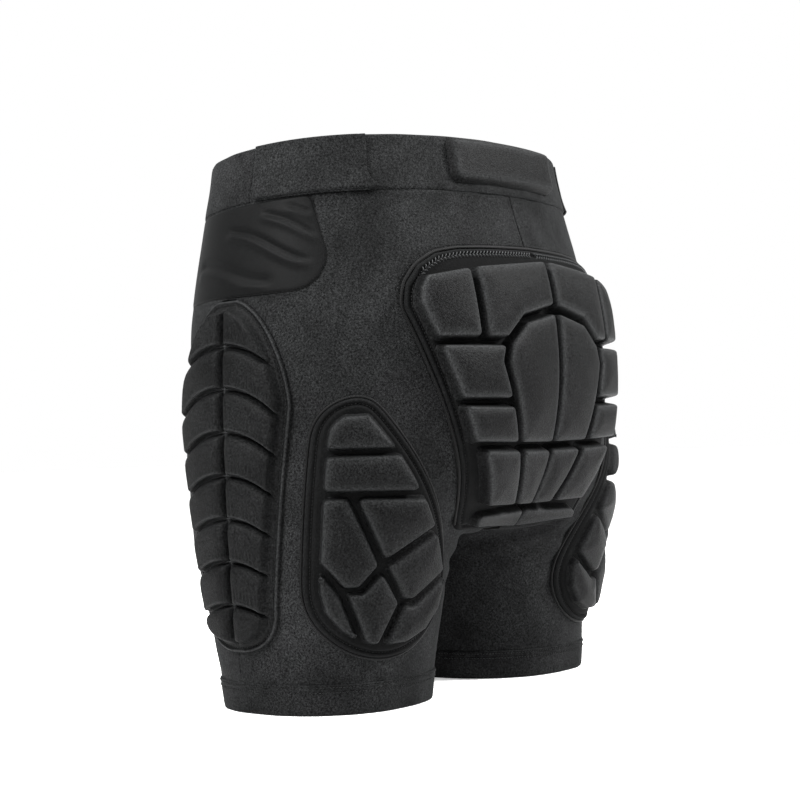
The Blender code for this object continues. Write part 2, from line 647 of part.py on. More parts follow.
def seat_piping(finish, group):
    """Corded edge round the sides and top of the seat pad."""
    edge = seat_edge(PIPING_OUT)
    (foot_x, foot_z), (shoulder_x, shoulder_z) = edge[:2]
    flank = [(foot_x + (shoulder_x - foot_x) * k / 10, foot_z + (shoulder_z - foot_z) * k / 10) for k in range(1, 10)]
    across = [(edge[-1][0] * k / 3, PIPING_TOP) for k in (2, 1, 0)]
    half = flank + edge[1:] + across
    path = [(-x, z) for x, z in half[:-1]] + half[::-1]
    curve = bpy.data.curves.new("seat_pad_piping", "CURVE")
    curve.dimensions = "3D"
    curve.bevel_depth = PIPING
    curve.bevel_resolution = 0
    curve.use_fill_caps = True
    spline = curve.splines.new("POLY")
    spline.points.add(len(path) - 1)
    for point, (x, z) in zip(spline.points, path):
        point.co = (*seat_point(x, z, PIPING + 0.0012), 1.0)
    curve.materials.append(finish)
    made = bpy.data.objects.new("seat_pad_piping", curve)
    group.objects.link(made)
    return made


def thigh_pad(foam, base, group):
    top = THIGH_BASE + BACKING
    heights = row_heights(THIGH_LOW, THIGH_TOP, 12)
    lows = [thigh_span(z)[0] for z in heights]
    highs = [thigh_span(z)[1] for z in heights]
    rows = [sheet_rows(thigh_point, heights, lows, highs, 9, height) for height in (THIGH_BASE, top)]
    made = [add_slab("left_thigh_pad_backing", rows[0], rows[1], base, group)]
    for name, outline in thigh_cells().items():
        vertices, faces = block(outline, thigh_point, top + BLOCK_LIFT, top + BLOCK_LIFT + THIGH_BLOCK)
        made.append(add_object("left_thigh_" + name, vertices, faces, foam, group))
    return made


def lumbar_rows():
    """Under and outer faces of the lumbar pad on the back of the waistband."""
    lows, highs = [-LUMBAR_HALF] * len(LUMBAR_HEIGHTS), [LUMBAR_HALF] * len(LUMBAR_HEIGHTS)
    return [sheet_rows(seat_point, LUMBAR_HEIGHTS, lows, highs, 13, height) for height in (LUMBAR_LIFT, LUMBAR_THICK)]


def side_drop(y):
    """How far a row of the side pad sags below its middle at y: the joint row turns on the hip axis."""
    reach = min(abs(y - SIDE_Y), HIP_DISC * 0.93)
    return HIP_DISC - math.sqrt(HIP_DISC**2 - reach**2)


def side_rows(grooves, bottom_end, top_end):
    """Grid of the molded side pad: raised rows between the grooves, flat borders at its own ends."""
    levels = []
    if bottom_end:
        levels += [(SIDE_SPAN[0], 0.0), (grooves[0] - 0.001, 0.0)]
    for groove, top in zip(grooves, grooves[1:]):
        levels += [(groove + 0.0010, 0.0), (groove + 0.0050, 1.0), (top - 0.0045, 1.0)]
    levels += [(grooves[-1] - 0.0004, 0.0)]
    if top_end:
        levels += [(SIDE_SPAN[1], 0.0)]
    across = [(-1.0, 0.0), (-0.84, 0.0), (-0.72, 1.0), (-0.40, 1.0), (-0.08, 0.9), (0.0, 0.0)]
    across += [(-a, h) for a, h in across[-2::-1]]
    low, high = [], []
    for v, row_height in levels:
        half = side_half(v)
        low_row, high_row = [], []
        for a, column_height in across:
            y = SIDE_Y + a * half
            z = v - side_drop(y)
            low_row.append(side_point(y, z, PAD_BASE))
            high_row.append(side_point(y, z, PAD_BASE + BACKING + SIDE_BLOCK * row_height * column_height))
        low.append(low_row)
        high.append(high_row)
    return low, high


def side_pad(foam, group):
    """Lower part on the leg and upper part on the hip, parted at the groove on the joint line."""
    grooves = [SIDE_TOP_GROOVE - SIDE_PITCH * k for k in range(6, -1, -1)]
    lowest, highest = SIDE_SPAN[0] + SIDE_RIM, SIDE_SPAN[1] - SIDE_RIM
    joint = grooves[-2]
    lower = side_rows([lowest, *grooves[:-2], joint - PAD_CLEAR], True, False)
    upper = side_rows([joint, grooves[-1], highest], False, True)
    return [add_slab("left_side_pad_lower", *lower, foam, group),
            add_slab("left_side_pad_upper", *upper, foam, group)]


# ---- assembly -----------------------------------------------------------------------------------
def mirror_copy(source, name, group):
    """Right-hand copy of a finished left-hand piece."""
    bpy.context.view_layer.update()
    evaluated = source.evaluated_get(bpy.context.evaluated_depsgraph_get())
    mesh = bpy.data.meshes.new_from_object(evaluated)
    mesh.name = name
    mesh.transform(Matrix.Scale(-1.0, 4, Vector((1, 0, 0))))
    mesh.flip_normals()
    made = bpy.data.objects.new(name, mesh)
    group.objects.link(made)
    return made


def hinge(name, location, pieces, group):
    """Empty on a joint's axis, parent of the pieces that turn on it."""
    pivot = bpy.data.objects.new(name, None)
    pivot.empty_display_size = 0.02
    pivot.location = location
    group.objects.link(pivot)
    for piece in pieces:
        piece.parent = pivot
        piece.matrix_parent_inverse = Matrix.Translation(-Vector(location))
    return pivot


def main():
    for old in list(bpy.data.objects):
        bpy.data.objects.remove(old)
    group = collection("padded_impact_shorts")
    cutters = collection("cutters")
    knit = material("charcoal_knit", (0.040, 0.042, 0.044), 0.85)
    stretch = material("smooth_stretch", (0.030, 0.032, 0.034), 0.6)
    foam = material("laminated_foam", (0.034, 0.036, 0.038), 0.7)
    base = material("pad_backing", (0.022, 0.023, 0.024), 0.8)
    hook = material("hook_and_loop", (0.010, 0.010, 0.011), 0.55)
    trim = material("piping_trim", (0.018, 0.018, 0.019), 0.6)

    sleeve, front, back, insert, crease, hem = fabric_pieces(knit, stretch, group, cutters)
    waistband(knit, group, cutters)
    add_slab("crotch_gusset", gusset_rows(0.0), gusset_rows(-FABRIC), stretch, group)
    add_slab("lumbar_pad", *lumbar_rows(), foam, group)
    seat_piping(trim, group)
    seat_blocks = seat_pad(foam, base, group)
    side_lower, side_upper = side_pad(foam, group)
    patch = band_strip("left_loop_patch", *PATCH_SPAN, *PATCH_DEPTH, *PATCH_HEIGHTS, hook, group)
    tab = band_strip("left_waist_tab", TAB_START + TAB_GAP, TAB_END, *TAB_DEPTH, *TAB_HEIGHTS, knit, group)
    fixed = [front, back, insert, crease, patch, side_upper, *seat_blocks]
    leg = [sleeve, hem, side_lower, *thigh_pad(foam, base, group)]

    copies = {piece.name: mirror_copy(piece, piece.name.replace("left_", "right_"), group)
              for piece in (*fixed, *leg, tab)}
    right_leg = [copies[piece.name] for piece in leg]
    hinge("left_hip_axis", (0.105, HIP_Y, HIP_Z), leg, group)
    hinge("right_hip_axis", (-0.105, HIP_Y, HIP_Z), right_leg, group)
    pivot = side_point(TAB_START + TAB_GAP, (BAND_SEAM + BAND_TOP) / 2, TAB_DEPTH[0])
    hinge("left_tab_axis", tuple(pivot), [tab], group)
    hinge("right_tab_axis", (-pivot.x, pivot.y, pivot.z), [copies[tab.name]], group)
    for made in (*group.objects, *cutters.objects):
        if made.parent is None:
            made.location.y -= ORIGIN_BACK


main()
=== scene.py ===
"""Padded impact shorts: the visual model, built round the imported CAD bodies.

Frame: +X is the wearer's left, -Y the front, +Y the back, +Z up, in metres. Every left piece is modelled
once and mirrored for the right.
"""
import math

import bmesh
import bpy
import numpy as np
from mathutils import Matrix, Vector
from mathutils.geometry import delaunay_2d_cdt


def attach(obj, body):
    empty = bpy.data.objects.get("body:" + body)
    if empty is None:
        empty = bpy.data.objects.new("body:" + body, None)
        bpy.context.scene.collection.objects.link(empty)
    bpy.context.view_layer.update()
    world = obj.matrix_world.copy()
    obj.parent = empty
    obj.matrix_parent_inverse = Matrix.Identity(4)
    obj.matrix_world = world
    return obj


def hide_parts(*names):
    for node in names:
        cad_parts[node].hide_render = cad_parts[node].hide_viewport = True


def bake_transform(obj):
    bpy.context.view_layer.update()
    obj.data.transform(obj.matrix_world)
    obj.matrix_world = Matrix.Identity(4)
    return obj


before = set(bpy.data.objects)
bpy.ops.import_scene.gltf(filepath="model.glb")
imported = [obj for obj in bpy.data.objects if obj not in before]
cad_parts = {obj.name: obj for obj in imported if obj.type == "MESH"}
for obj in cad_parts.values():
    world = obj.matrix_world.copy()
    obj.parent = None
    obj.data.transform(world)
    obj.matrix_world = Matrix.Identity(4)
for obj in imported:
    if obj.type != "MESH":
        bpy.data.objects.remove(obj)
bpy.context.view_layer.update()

MM = 0.001

# ---- the body's own shape, as in the CAD source --------------------------------------------------
ORIGIN_BACK = 0.0142
BAND_SEAM = 0.371
CROTCH = 0.122
FULL_TORSO = 0.215
LEG_GAP_LOW = 0.033
LEG_GAP_HIGH = 0.016
BAND_RISE = 0.06        # the waist slopes up towards the back by this share of y
RISE_SPAN = (0.25, 0.38)        # the slope sets in and is full at these heights
SECTION_POWER = 2.25
FABRIC = 0.0024
SECTION_Z = (0.000, 0.060, 0.122, 0.180, 0.240, 0.300, 0.360, 0.412, 0.440)
HALF_WIDTH = (0.181, 0.185, 0.188, 0.189, 0.188, 0.183, 0.171, 0.159, 0.156)
BACK_DEPTH = (0.074, 0.083, 0.100, 0.128, 0.139, 0.134, 0.115, 0.106, 0.105)
FRONT_DEPTH = (0.074, 0.085, 0.104, 0.120, 0.126, 0.125, 0.118, 0.112, 0.110)
CENTRE_X = (0.107, 0.104, 0.096, 0.052, 0.012, 0.000, 0.000, 0.000, 0.000)
CENTRE_Y = (0.005, 0.004, 0.003, 0.000, 0.000, 0.000, 0.000, 0.000, 0.000)
SIDE_SEAM_Y = -0.015

CENTRE_GAP = 0.0001      # left and right pieces stop this far from the middle plane
HIP_DISC = 0.0640
PAD_FLOOR = 0.0045      # surface between the raised blocks, above the fabric
INSERT_FRONT_X = 0.050
# Every pad is a rounded shape split by grooves: its edge is a formula, and its raised blocks are the
# cells between the groove lines, drawn in to the foot of their sloping sides.
BLOCK_GROOVE = 0.005
ARC_STEPS = 4           # pieces of a rounded stretch of outline

# Seat pad seen from behind, left half, as (x, z): a straight flank, then a rounded shoulder.
SEAT_FOOT = (0.076, 0.130)
SEAT_SHOULDER = (0.127, 0.287)
SEAT_CORNER = (0.047, 0.037)     # width and height of the rounded shoulder
SEAT_RIM = 0.0015                # flat border between the edge and the outermost grooves
SEAT_ROWS = (0.147, 0.190, 0.220, 0.262)    # heights of the level grooves
SEAT_COLUMN = 0.080              # upright groove in the top row
SEAT_TOP = 0.320                 # upper edge of the top blocks at the middle
SEAT_FALL = 0.08                 # how fast that edge falls outwards
SEAT_EDGE_TOP = 0.3260           # upper edge of the whole pad at the middle
PETAL_FOOT = 0.045               # half width of the middle petals at their foot
PETAL_HALF = 0.063               # and where they are widest
PETAL_WIDEST = 0.248
PETAL_ARCH = 0.037               # height of the arch over them
PETAL_FACET = 52.0               # degrees round the arch at which its one corner lies
FOOT_LINES = ((0.025, 0.043), (0.066, 0.087))   # slanted lines of the foot row: x at its bottom and top
CROTCH_BLOCK = (0.069, 0.1305, 0.0035)          # half width, lower edge, and height lost at its outer end

# Thigh pad in its own plane, as (out, z): a round foot under a leaf that leans outwards to its tip.
THIGH_MIDDLE = (-0.002, 0.090)
THIGH_ROUND = (0.053, 0.048)     # half width and depth of the round foot
THIGH_TOP = 0.223
THIGH_LEAN = 0.068               # how far the inner edge moves out on the way up
THIGH_DRAW = 0.009               # how far the outer edge comes in
THIGH_TIP = (0.0225, 0.023)      # width and height of the rounded tip
THIGH_RIM = 0.0050
THIGH_ROWS = (0.1575, 0.187)     # level grooves under and over the upper block
THIGH_HUB = (0.006, 0.108)       # where the middle, inner, outer and centre foot blocks meet
THIGH_FORK = (-0.009, 0.081)     # where the inner, inner foot and centre foot blocks meet
THIGH_SHELF = ((0.020, 0.0905), (0.0315, 0.0905))   # groove over the centre foot
THIGH_SPLIT = 0.026              # where the middle and outer blocks part, along the lower level groove
THIGH_INNER_Z = (0.101, 0.135)   # heights where grooves reach the inner edge
THIGH_OUTER_Z = 0.110            # height where a groove reaches the outer edge
THIGH_STEM = (-80.0, -66.0)      # degrees round the foot at which the centre foot's sides end
THIGH_TURN = math.radians(25.0)  # the thigh pad faces this far out from straight back
THIGH_AXIS = (0.101, 0.003 - ORIGIN_BACK)       # (x, y) that the distance out is measured from

# Side pad seen from the side: (half width, z) where its ends begin to round, and how long those ends are.
SIDE_LOW = (0.038, 0.090)
SIDE_HIGH = (0.056, 0.252)
SIDE_ROUND = (0.046, 0.049)
SIDE_SPAN = (0.0448, 0.3003)
SIDE_Y = -0.012
SIDE_TOP_GROOVE = 0.266
SIDE_PITCH = 0.031

# Hip insert seen from the side: lower edge, and the rounded corner (y, z, radius) it turns up at.
INSERT_LOW = 0.302
INSERT_CORNER = (0.043, 0.322, 0.020)
INSERT_END = 0.047      # y where its rear edge passes under the band


# ---- the body surface ----------------------------------------------------------------------------
def smooth(z, heights, values):
    """Smooth curve through (heights, values), for arrays of z."""
    z, h, v = np.asarray(z, float), np.asarray(heights), np.asarray(values)
    step = np.diff(h)
    slope = np.diff(v) / step
    inner = (slope[:-1] * step[1:] + slope[1:] * step[:-1]) / (h[2:] - h[:-2])
    tangent = np.concatenate(([slope[0]], inner, [slope[-1]]))
    i = np.clip(np.searchsorted(h, z) - 1, 0, len(h) - 2)
    t = np.clip((z - h[i]) / step[i], 0.0, 1.0)
    return ((2 * t**3 - 3 * t**2 + 1) * v[i] + (t**3 - 2 * t**2 + t) * step[i] * tangent[i]
            + (3 * t**2 - 2 * t**3) * v[i + 1] + (t**3 - t**2) * step[i] * tangent[i + 1])


def ease(t):
    t = np.clip(t, 0.0, 1.0)
    return t * t * (3 - 2 * t)


def inner_edge(z):
    arch = CROTCH - LEG_GAP_HIGH
    straight = LEG_GAP_LOW + (LEG_GAP_HIGH - LEG_GAP_LOW) * np.clip(z, 0, None) / arch
    curve = np.sqrt(np.clip(LEG_GAP_HIGH**2 - (z - arch)**2, 0, None))
    s = np.clip((z - CROTCH) / (FULL_TORSO - CROTCH), 0, 1)
    torso = -smooth(z, SECTION_Z, HALF_WIDTH) * np.sqrt(1 - (1 - s)**2)
    return np.where(z < arch, straight, np.where(z < CROTCH, curve, torso))


def signed_power(value):
    return np.sign(value) * np.abs(value)**(2.0 / SECTION_POWER)


def skin(z, angle):
    """Points of the left half at height z; angle 0 is the front, 90 degrees the side, 180 the back."""
    z, angle = np.broadcast_arrays(np.asarray(z, float), np.asarray(angle, float))
    s, c = np.sin(angle), np.cos(angle)
    depth = np.where(c > 0, smooth(z, SECTION_Z, FRONT_DEPTH), smooth(z, SECTION_Z, BACK_DEPTH))
    centre = smooth(z, SECTION_Z, CENTRE_X)
    reach = np.where(s > 0, smooth(z, SECTION_Z, HALF_WIDTH) - centre, centre - inner_edge(z))
    y = smooth(z, SECTION_Z, CENTRE_Y) - depth * signed_power(c)
    low, high = RISE_SPAN
    rise = BAND_RISE * np.clip((z - low) / (high - low), 0.0, 1.0)
    return np.stack([centre + reach * signed_power(s), y - ORIGIN_BACK, z + rise * y], axis=-1)


def unit(vectors):
    return vectors / np.linalg.norm(vectors, axis=-1, keepdims=True)


def run_of(points):
    """Distance along a line of points, from its first point to each."""
    return np.concatenate(([0], np.cumsum(np.linalg.norm(np.diff(points, axis=0), axis=1))))


def outward(z, angle, step=1e-3):
    """Unit normals of the body's surface."""
    around = skin(z, angle + step) - skin(z, angle - step)
    up = skin(z + step, angle) - skin(z - step, angle)
    return unit(np.cross(around, up))


def offset(z, angle, height):
    return skin(z, angle) + outward(z, angle) * np.asarray(height, float)[..., None]


def angle_at(z, direction, distance, low, high):
    """Angles where the sections at heights z reach `distance` along a flat direction."""
    z, distance = np.broadcast_arrays(np.asarray(z, float), np.asarray(distance, float))
    direction = np.asarray(direction, float)
    low = np.full(z.shape, math.radians(low))
    high = np.full(z.shape, math.radians(high))
    rising = (skin(z, high) - skin(z, low)) @ direction > 0
    for _ in range(26):
        middle = (low + high) / 2
        below = (skin(z, middle) @ direction < distance) == rising
        low = np.where(below, middle, low)
        high = np.where(below, high, middle)
    return (low + high) / 2


def on_seat(x, z, height):
    x = np.asarray(x, float)
    point = offset(z, angle_at(z, (1, 0, 0), np.abs(x), 92, 268), height)
    point[..., 0] = np.where(x == 0, 0.0, np.copysign(np.maximum(point[..., 0], 0.0), x))
    return point


def on_thigh(out, z, height):
    direction = np.array((math.cos(THIGH_TURN), -math.sin(THIGH_TURN), 0.0))
    start = np.array((*THIGH_AXIS, 0.0)) @ direction
    return offset(z, angle_at(z, direction, start + np.asarray(out), 90, 225), height)


def side_angle(y, z):
    """Angles on the left side where the sections at heights z reach y."""
    return angle_at(z, (0, 1, 0), np.asarray(y) - ORIGIN_BACK, 20, 160)


def on_side(y, z, height):
    return offset(z, side_angle(y, z), height)


# ---- pad layouts ---------------------------------------------------------------------------------
def arc(centre, size, start, end, steps=ARC_STEPS):
    """Points along an ellipse of half width and half height `size`, between two angles in degrees."""
    angles = [math.radians(start + (end - start) * k / steps) for k in range(steps + 1)]
    return [(centre[0] + size[0] * math.cos(t), centre[1] + size[1] * math.sin(t)) for t in angles]


def round_share(reach):
    """Share of its full width that a rounded end keeps at `reach`, 0 to 1, along it."""
    return math.sqrt(max(1.0 - reach**2, 0.0))


def seat_half(z):
    share = (z - SEAT_FOOT[1]) / (SEAT_SHOULDER[1] - SEAT_FOOT[1])
    if share < 1:
        return SEAT_FOOT[0] + (SEAT_SHOULDER[0] - SEAT_FOOT[0]) * share
    return SEAT_SHOULDER[0] - SEAT_CORNER[0] * (1 - round_share((z - SEAT_SHOULDER[1]) / SEAT_CORNER[1]))


def seat_half_edge():
    """Left half of the seat pad's edge: up its flank, round its shoulder, in to the middle of the back."""
    centre = (SEAT_SHOULDER[0] - SEAT_CORNER[0], SEAT_SHOULDER[1])
    top = [(SEAT_COLUMN * 0.7, SEAT_EDGE_TOP - MM), (0.0, SEAT_EDGE_TOP)]
    return [SEAT_FOOT, *arc(centre, SEAT_CORNER, 0, 90), *top]


def petal_half(z):
    share = min((z - SEAT_ROWS[1]) / (PETAL_WIDEST - SEAT_ROWS[1]), 1.0)
    rounding = round_share(max(z - PETAL_WIDEST, 0.0) / PETAL_ARCH)
    return (PETAL_FOOT + (PETAL_HALF - PETAL_FOOT) * share) * rounding


def seat_cells():
    """Cells of the seat pad's left half, as (x, z) along the middle of the grooves."""
    bottom, foot, waist, upper = SEAT_ROWS
    arch = (0.0, PETAL_WIDEST)
    arch_size = (PETAL_HALF, PETAL_ARCH)
    spring = math.degrees(math.asin((upper - PETAL_WIDEST) / PETAL_ARCH))
    crown = arc(arch, arch_size, 90, PETAL_FACET, 1) + arc(arch, arch_size, spring, spring, 1)[:1]
    shoulder = arc((SEAT_SHOULDER[0] - SEAT_CORNER[0] - SEAT_RIM, SEAT_SHOULDER[1]), SEAT_CORNER, 0, 34, 2)
    (inner_low, inner_high), (outer_low, outer_high) = FOOT_LINES
    crotch_half, crotch_low, crotch_drop = CROTCH_BLOCK

    def top(x):
        return SEAT_TOP - SEAT_FALL * x

    def side(z):
        return (seat_half(z) - SEAT_RIM, z)

    def petal(z):
        return (petal_half(z), z)

    return {
        "outer_top": [(SEAT_COLUMN, upper), side(upper), *shoulder, (SEAT_COLUMN, top(SEAT_COLUMN))],
        "inner_top": [*crown, (SEAT_COLUMN, upper), (SEAT_COLUMN, top(SEAT_COLUMN)),
                      (0.0, top(0.0))],
        "outer_middle": [petal(waist), side(waist), side(upper), crown[-1], petal(PETAL_WIDEST)],
        "centre_petal": [(0.0, foot), petal(foot), petal(PETAL_WIDEST), *crown[::-1]],
        "outer_lower": [petal(foot), side(foot), side(waist), petal(waist)],
        "outer_foot": [(inner_low, bottom), (outer_low, bottom), (outer_high, foot), (inner_high, foot)],
        "inner_foot": [(0.0, bottom), (inner_low, bottom), (inner_high, foot), (0.0, foot)],
        "crotch_block": [(0.0, crotch_low), (crotch_half, crotch_low),
                         (crotch_half, bottom - 2 * crotch_drop),
                         (crotch_half - crotch_drop * 2, bottom - crotch_drop), (0.0, bottom)],
    }


def thigh_span(z, draw=0.0):
    """Inner and outer edge of the thigh pad at height z, drawn in by `draw`."""
    middle, level = THIGH_MIDDLE
    half, depth = THIGH_ROUND[0] - draw, THIGH_ROUND[1] - draw
    if z < level:
        reach = half * round_share((level - z) / depth)
        return middle - reach, middle + reach
    share = (z - level) / (THIGH_TOP - level)
    width, height = THIGH_TIP
    tip = max(z - (THIGH_TOP - height), 0.0) / (height - draw)
    outer = middle + half - THIGH_DRAW * share**2 - width * (1 - round_share(tip))
    return middle - half + THIGH_LEAN * share**1.5, outer


def thigh_cells():
    """Cells of the thigh pad, as (out, z) along the middle of the grooves, round a hub and a fork."""
    waist, neck = THIGH_ROWS
    fork_z, inner_z = THIGH_INNER_Z
    size = (THIGH_ROUND[0] - THIGH_RIM, THIGH_ROUND[1] - THIGH_RIM)
    shelf_in, shelf_out = THIGH_SHELF
    stem_in, stem_out = THIGH_STEM
    tip_top = THIGH_TOP - THIGH_RIM * 1.6
    tip = [neck + (tip_top - neck) * share for share in (0.35, 0.62, 0.82, 0.94, 1.0)]

    def inner(z):
        return (thigh_span(z, THIGH_RIM)[0], z)

    def outer(z):
        return (thigh_span(z, THIGH_RIM)[1], z)

    def foot(start, end, steps):
        return arc(THIGH_MIDDLE, size, start, end, steps)

    split = (THIGH_SPLIT, waist)
    heel = (THIGH_FORK[0] * 2, THIGH_FORK[1] - MM)
    outer_end, inner_end, fork_end = outer(THIGH_OUTER_Z), inner(inner_z), inner(fork_z)
    return {
        "tip": [inner(neck), outer(neck), *(outer(z) for z in tip), *(inner(z) for z in tip[::-1])],
        "upper": [inner(waist), outer(waist), outer(neck), inner(neck)],
        "outer": [THIGH_HUB, shelf_in, shelf_out, outer_end, outer(waist), split],
        "middle": [THIGH_HUB, split, inner(waist), inner_end],
        "inner": [THIGH_FORK, THIGH_HUB, inner_end, fork_end, heel],
        "centre_foot": [*foot(stem_in, stem_out, 1), shelf_out, shelf_in, THIGH_HUB, THIGH_FORK],
        "outer_foot": [*foot(stem_out, 0, 3), outer_end, shelf_out],
        "inner_foot": [*foot(-180, stem_in, 4), THIGH_FORK, heel, fork_end],
    }


def side_half(z):
    """Half width of the side pad at height z."""
    (low, low_z), (high, high_z) = SIDE_LOW, SIDE_HIGH
    if z < low_z:
        return low * round_share((low_z - z) / SIDE_ROUND[0])
    if z > high_z:
        return high * round_share((z - high_z) / SIDE_ROUND[1])
    return low + (high - low) * (z - low_z) / (high_z - low_z)


# ---- mesh helpers --------------------------------------------------------------------------------
class Part:
    """Points, faces and a painted-highlight value per point, before they become an object."""

    def __init__(self, points, faces, painted_highlight=None):
        self.points = np.asarray(points, float).reshape(-1, 3)
        self.faces = [tuple(int(i) for i in f) for f in faces]
        self.painted_highlight = np.zeros(len(self.points)) if painted_highlight is None else np.asarray(painted_highlight, float)

    def mirrored(self):
        return Part(self.points * (-1, 1, 1), [f[::-1] for f in self.faces], self.painted_highlight)


def merged(parts):
    points, faces, painted_highlight, base = [], [], [], 0
    for part in parts:
        points.append(part.points)
        painted_highlight.append(part.painted_highlight)
        faces += [tuple(i + base for i in f) for f in part.faces]
        base += len(part.points)
    return Part(np.concatenate(points), faces, np.concatenate(painted_highlight))


def build(name, part, finish):
    name = f"{name}_visual"
    mesh = bpy.data.meshes.new(name)
    mesh.from_pydata(part.points.tolist(), [], part.faces)
    # Per-point painted highlight, which the knit materials use to lighten the colour.
    painted_highlight = mesh.attributes.new("painted_highlight", "FLOAT", "POINT")
    painted_highlight.data.foreach_set("value", part.painted_highlight.astype(np.float32))
    mesh.validate()
    mesh.shade_smooth()
    mesh.materials.append(finish)
    made = bpy.data.objects.new(name, mesh)
    bpy.context.scene.collection.objects.link(made)
    return made


def grid_faces(rows, columns, wrap=False, base=0, flip=False):
    """Faces over a grid of points, whose first point is number `base`."""
    i, j = np.meshgrid(np.arange(rows - 1), np.arange(columns if wrap else columns - 1), indexing="ij")
    i, j = i.ravel(), j.ravel()
    k = (j + 1) % columns
    below, above = base + i * columns, base + (i + 1) * columns
    quads = np.stack([below + j, below + k, above + k, above + j], axis=1)
    return (quads[:, ::-1] if flip else quads).tolist()


def ring_faces(rings, size, closed):
    """Faces through rings of `size` points, joined back to the first ring or capped at both ends."""
    faces = grid_faces(rings, size, wrap=True)
    last = (rings - 1) * size
    if closed:
        return faces + [(last + j, last + (j + 1) % size, (j + 1) % size, j) for j in range(size)]
    return faces + [range(size)[::-1], range(last, last + size)]


def solid(points, faces, painted_highlight=None):
    """Part whose faces all turn outwards, judged by the volume they enclose."""
    part = Part(points, faces, painted_highlight)
    volume = 0.0
    for size in {len(face) for face in part.faces}:
        corner = part.points[[face for face in part.faces if len(face) == size]]
        for i in range(1, size - 1):
            volume += np.sum(corner[:, 0] * np.cross(corner[:, i], corner[:, i + 1]))
    if volume <= 0:
        part.faces = [face[::-1] for face in part.faces]
    return part


def slab(outer, inner, painted_highlight=None):
    """Closed solid between two grids of points, both (rows, columns, 3)."""
    rows, columns = outer.shape[:2]
    layer = rows * columns
    faces = grid_faces(rows, columns) + grid_faces(rows, columns, base=layer, flip=True)
    rim = [(0, j) for j in range(columns)] + [(i, columns - 1) for i in range(1, rows)]
    rim += [(rows - 1, j) for j in range(columns - 2, -1, -1)] + [(i, 0) for i in range(rows - 2, 0, -1)]
    index = [i * columns + j for i, j in rim]
    faces += [(b, a, layer + a, layer + b) for a, b in zip(index, index[1:] + index[:1])]
    if painted_highlight is not None:
        painted_highlight = np.concatenate([painted_highlight.ravel(), np.zeros(layer)])
    return solid(np.concatenate([outer.reshape(-1, 3), inner.reshape(-1, 3)]), faces, painted_highlight)


def softened(values, passes):
    """Values round a closed loop, each averaged with its neighbours."""
    for _ in range(passes):
        values = (np.roll(values, 1, axis=0) + 2 * values + np.roll(values, -1, axis=0)) / 4
    return values


def turns_left(ring):
    """Whether a closed outline runs counter-clockwise."""
    return np.sum(ring[:, 0] * np.roll(ring[:, 1], -1) - np.roll(ring[:, 0], -1) * ring[:, 1]) > 0


def edge_gap(points, outline):
    """Distance of 2D points from a closed outline: positive inside, negative outside."""
    p = np.asarray(points, float).reshape(-1, 2)
    a = np.asarray(outline, float)
    b = np.roll(a, -1, axis=0)
    inside = np.zeros(len(p), bool)
    nearest = np.full(len(p), 1e9)
    for (ax, ay), (bx, by) in zip(a, b):
        dx, dy = bx - ax, by - ay
        length = dx * dx + dy * dy
        if length < 1e-16:
            continue
        t = np.clip(((p[:, 0] - ax) * dx + (p[:, 1] - ay) * dy) / length, 0, 1)
        nearest = np.minimum(nearest, np.hypot(p[:, 0] - ax - t * dx, p[:, 1] - ay - t * dy))
        crosses = (ay > p[:, 1]) != (by > p[:, 1])
        inside ^= crosses & (p[:, 0] < ax + (p[:, 1] - ay) * dx / (dy if dy else 1e-12))
    return np.where(inside, nearest, -nearest)


def evenly(points, spacing, closed=True):
    """Points resampled along a line at about `spacing`."""
    p = np.asarray(points, float)
    if closed:
        p = np.vstack([p, p[:1]])
    run = run_of(p)
    count = max(int(round(run[-1] / spacing)), 3)
    at = np.linspace(0, run[-1], count + 1)
    if closed:
        at = at[:-1]
    return np.stack([np.interp(at, run, p[:, k]) for k in range(p.shape[1])], axis=1)


def leftward(outline):
    """Closed outline as an array of points that runs counter-clockwise."""
    p = np.asarray(outline, float)
    return p if turns_left(p) else p[::-1]


def rounded(outline, radius, spacing):
    """Closed outline with rounded corners, counter-clockwise."""
    p = leftward(outline)
    made = []
    for before, here, after in zip(np.roll(p, 1, axis=0), p, np.roll(p, -1, axis=0)):
        u, v = before - here, after - here
        lu, lv = np.linalg.norm(u), np.linalg.norm(v)
        u, v = u / lu, v / lv
        half = math.acos(max(-1.0, min(1.0, float(u @ v)))) / 2
        reach = min(radius / max(math.tan(half), 1e-3), 0.46 * lu, 0.46 * lv)
        for t in np.linspace(0, 1, 7):
            made.append(here + (1 - t)**2 * u * reach + t * t * v * reach)
    return evenly(made, spacing)


def inward(ring):
    """Unit normals that point into a counter-clockwise ring."""
    along = np.roll(ring, -1, axis=0) - np.roll(ring, 1, axis=0)
    return unit(np.stack([-along[:, 1], along[:, 0]], axis=1))


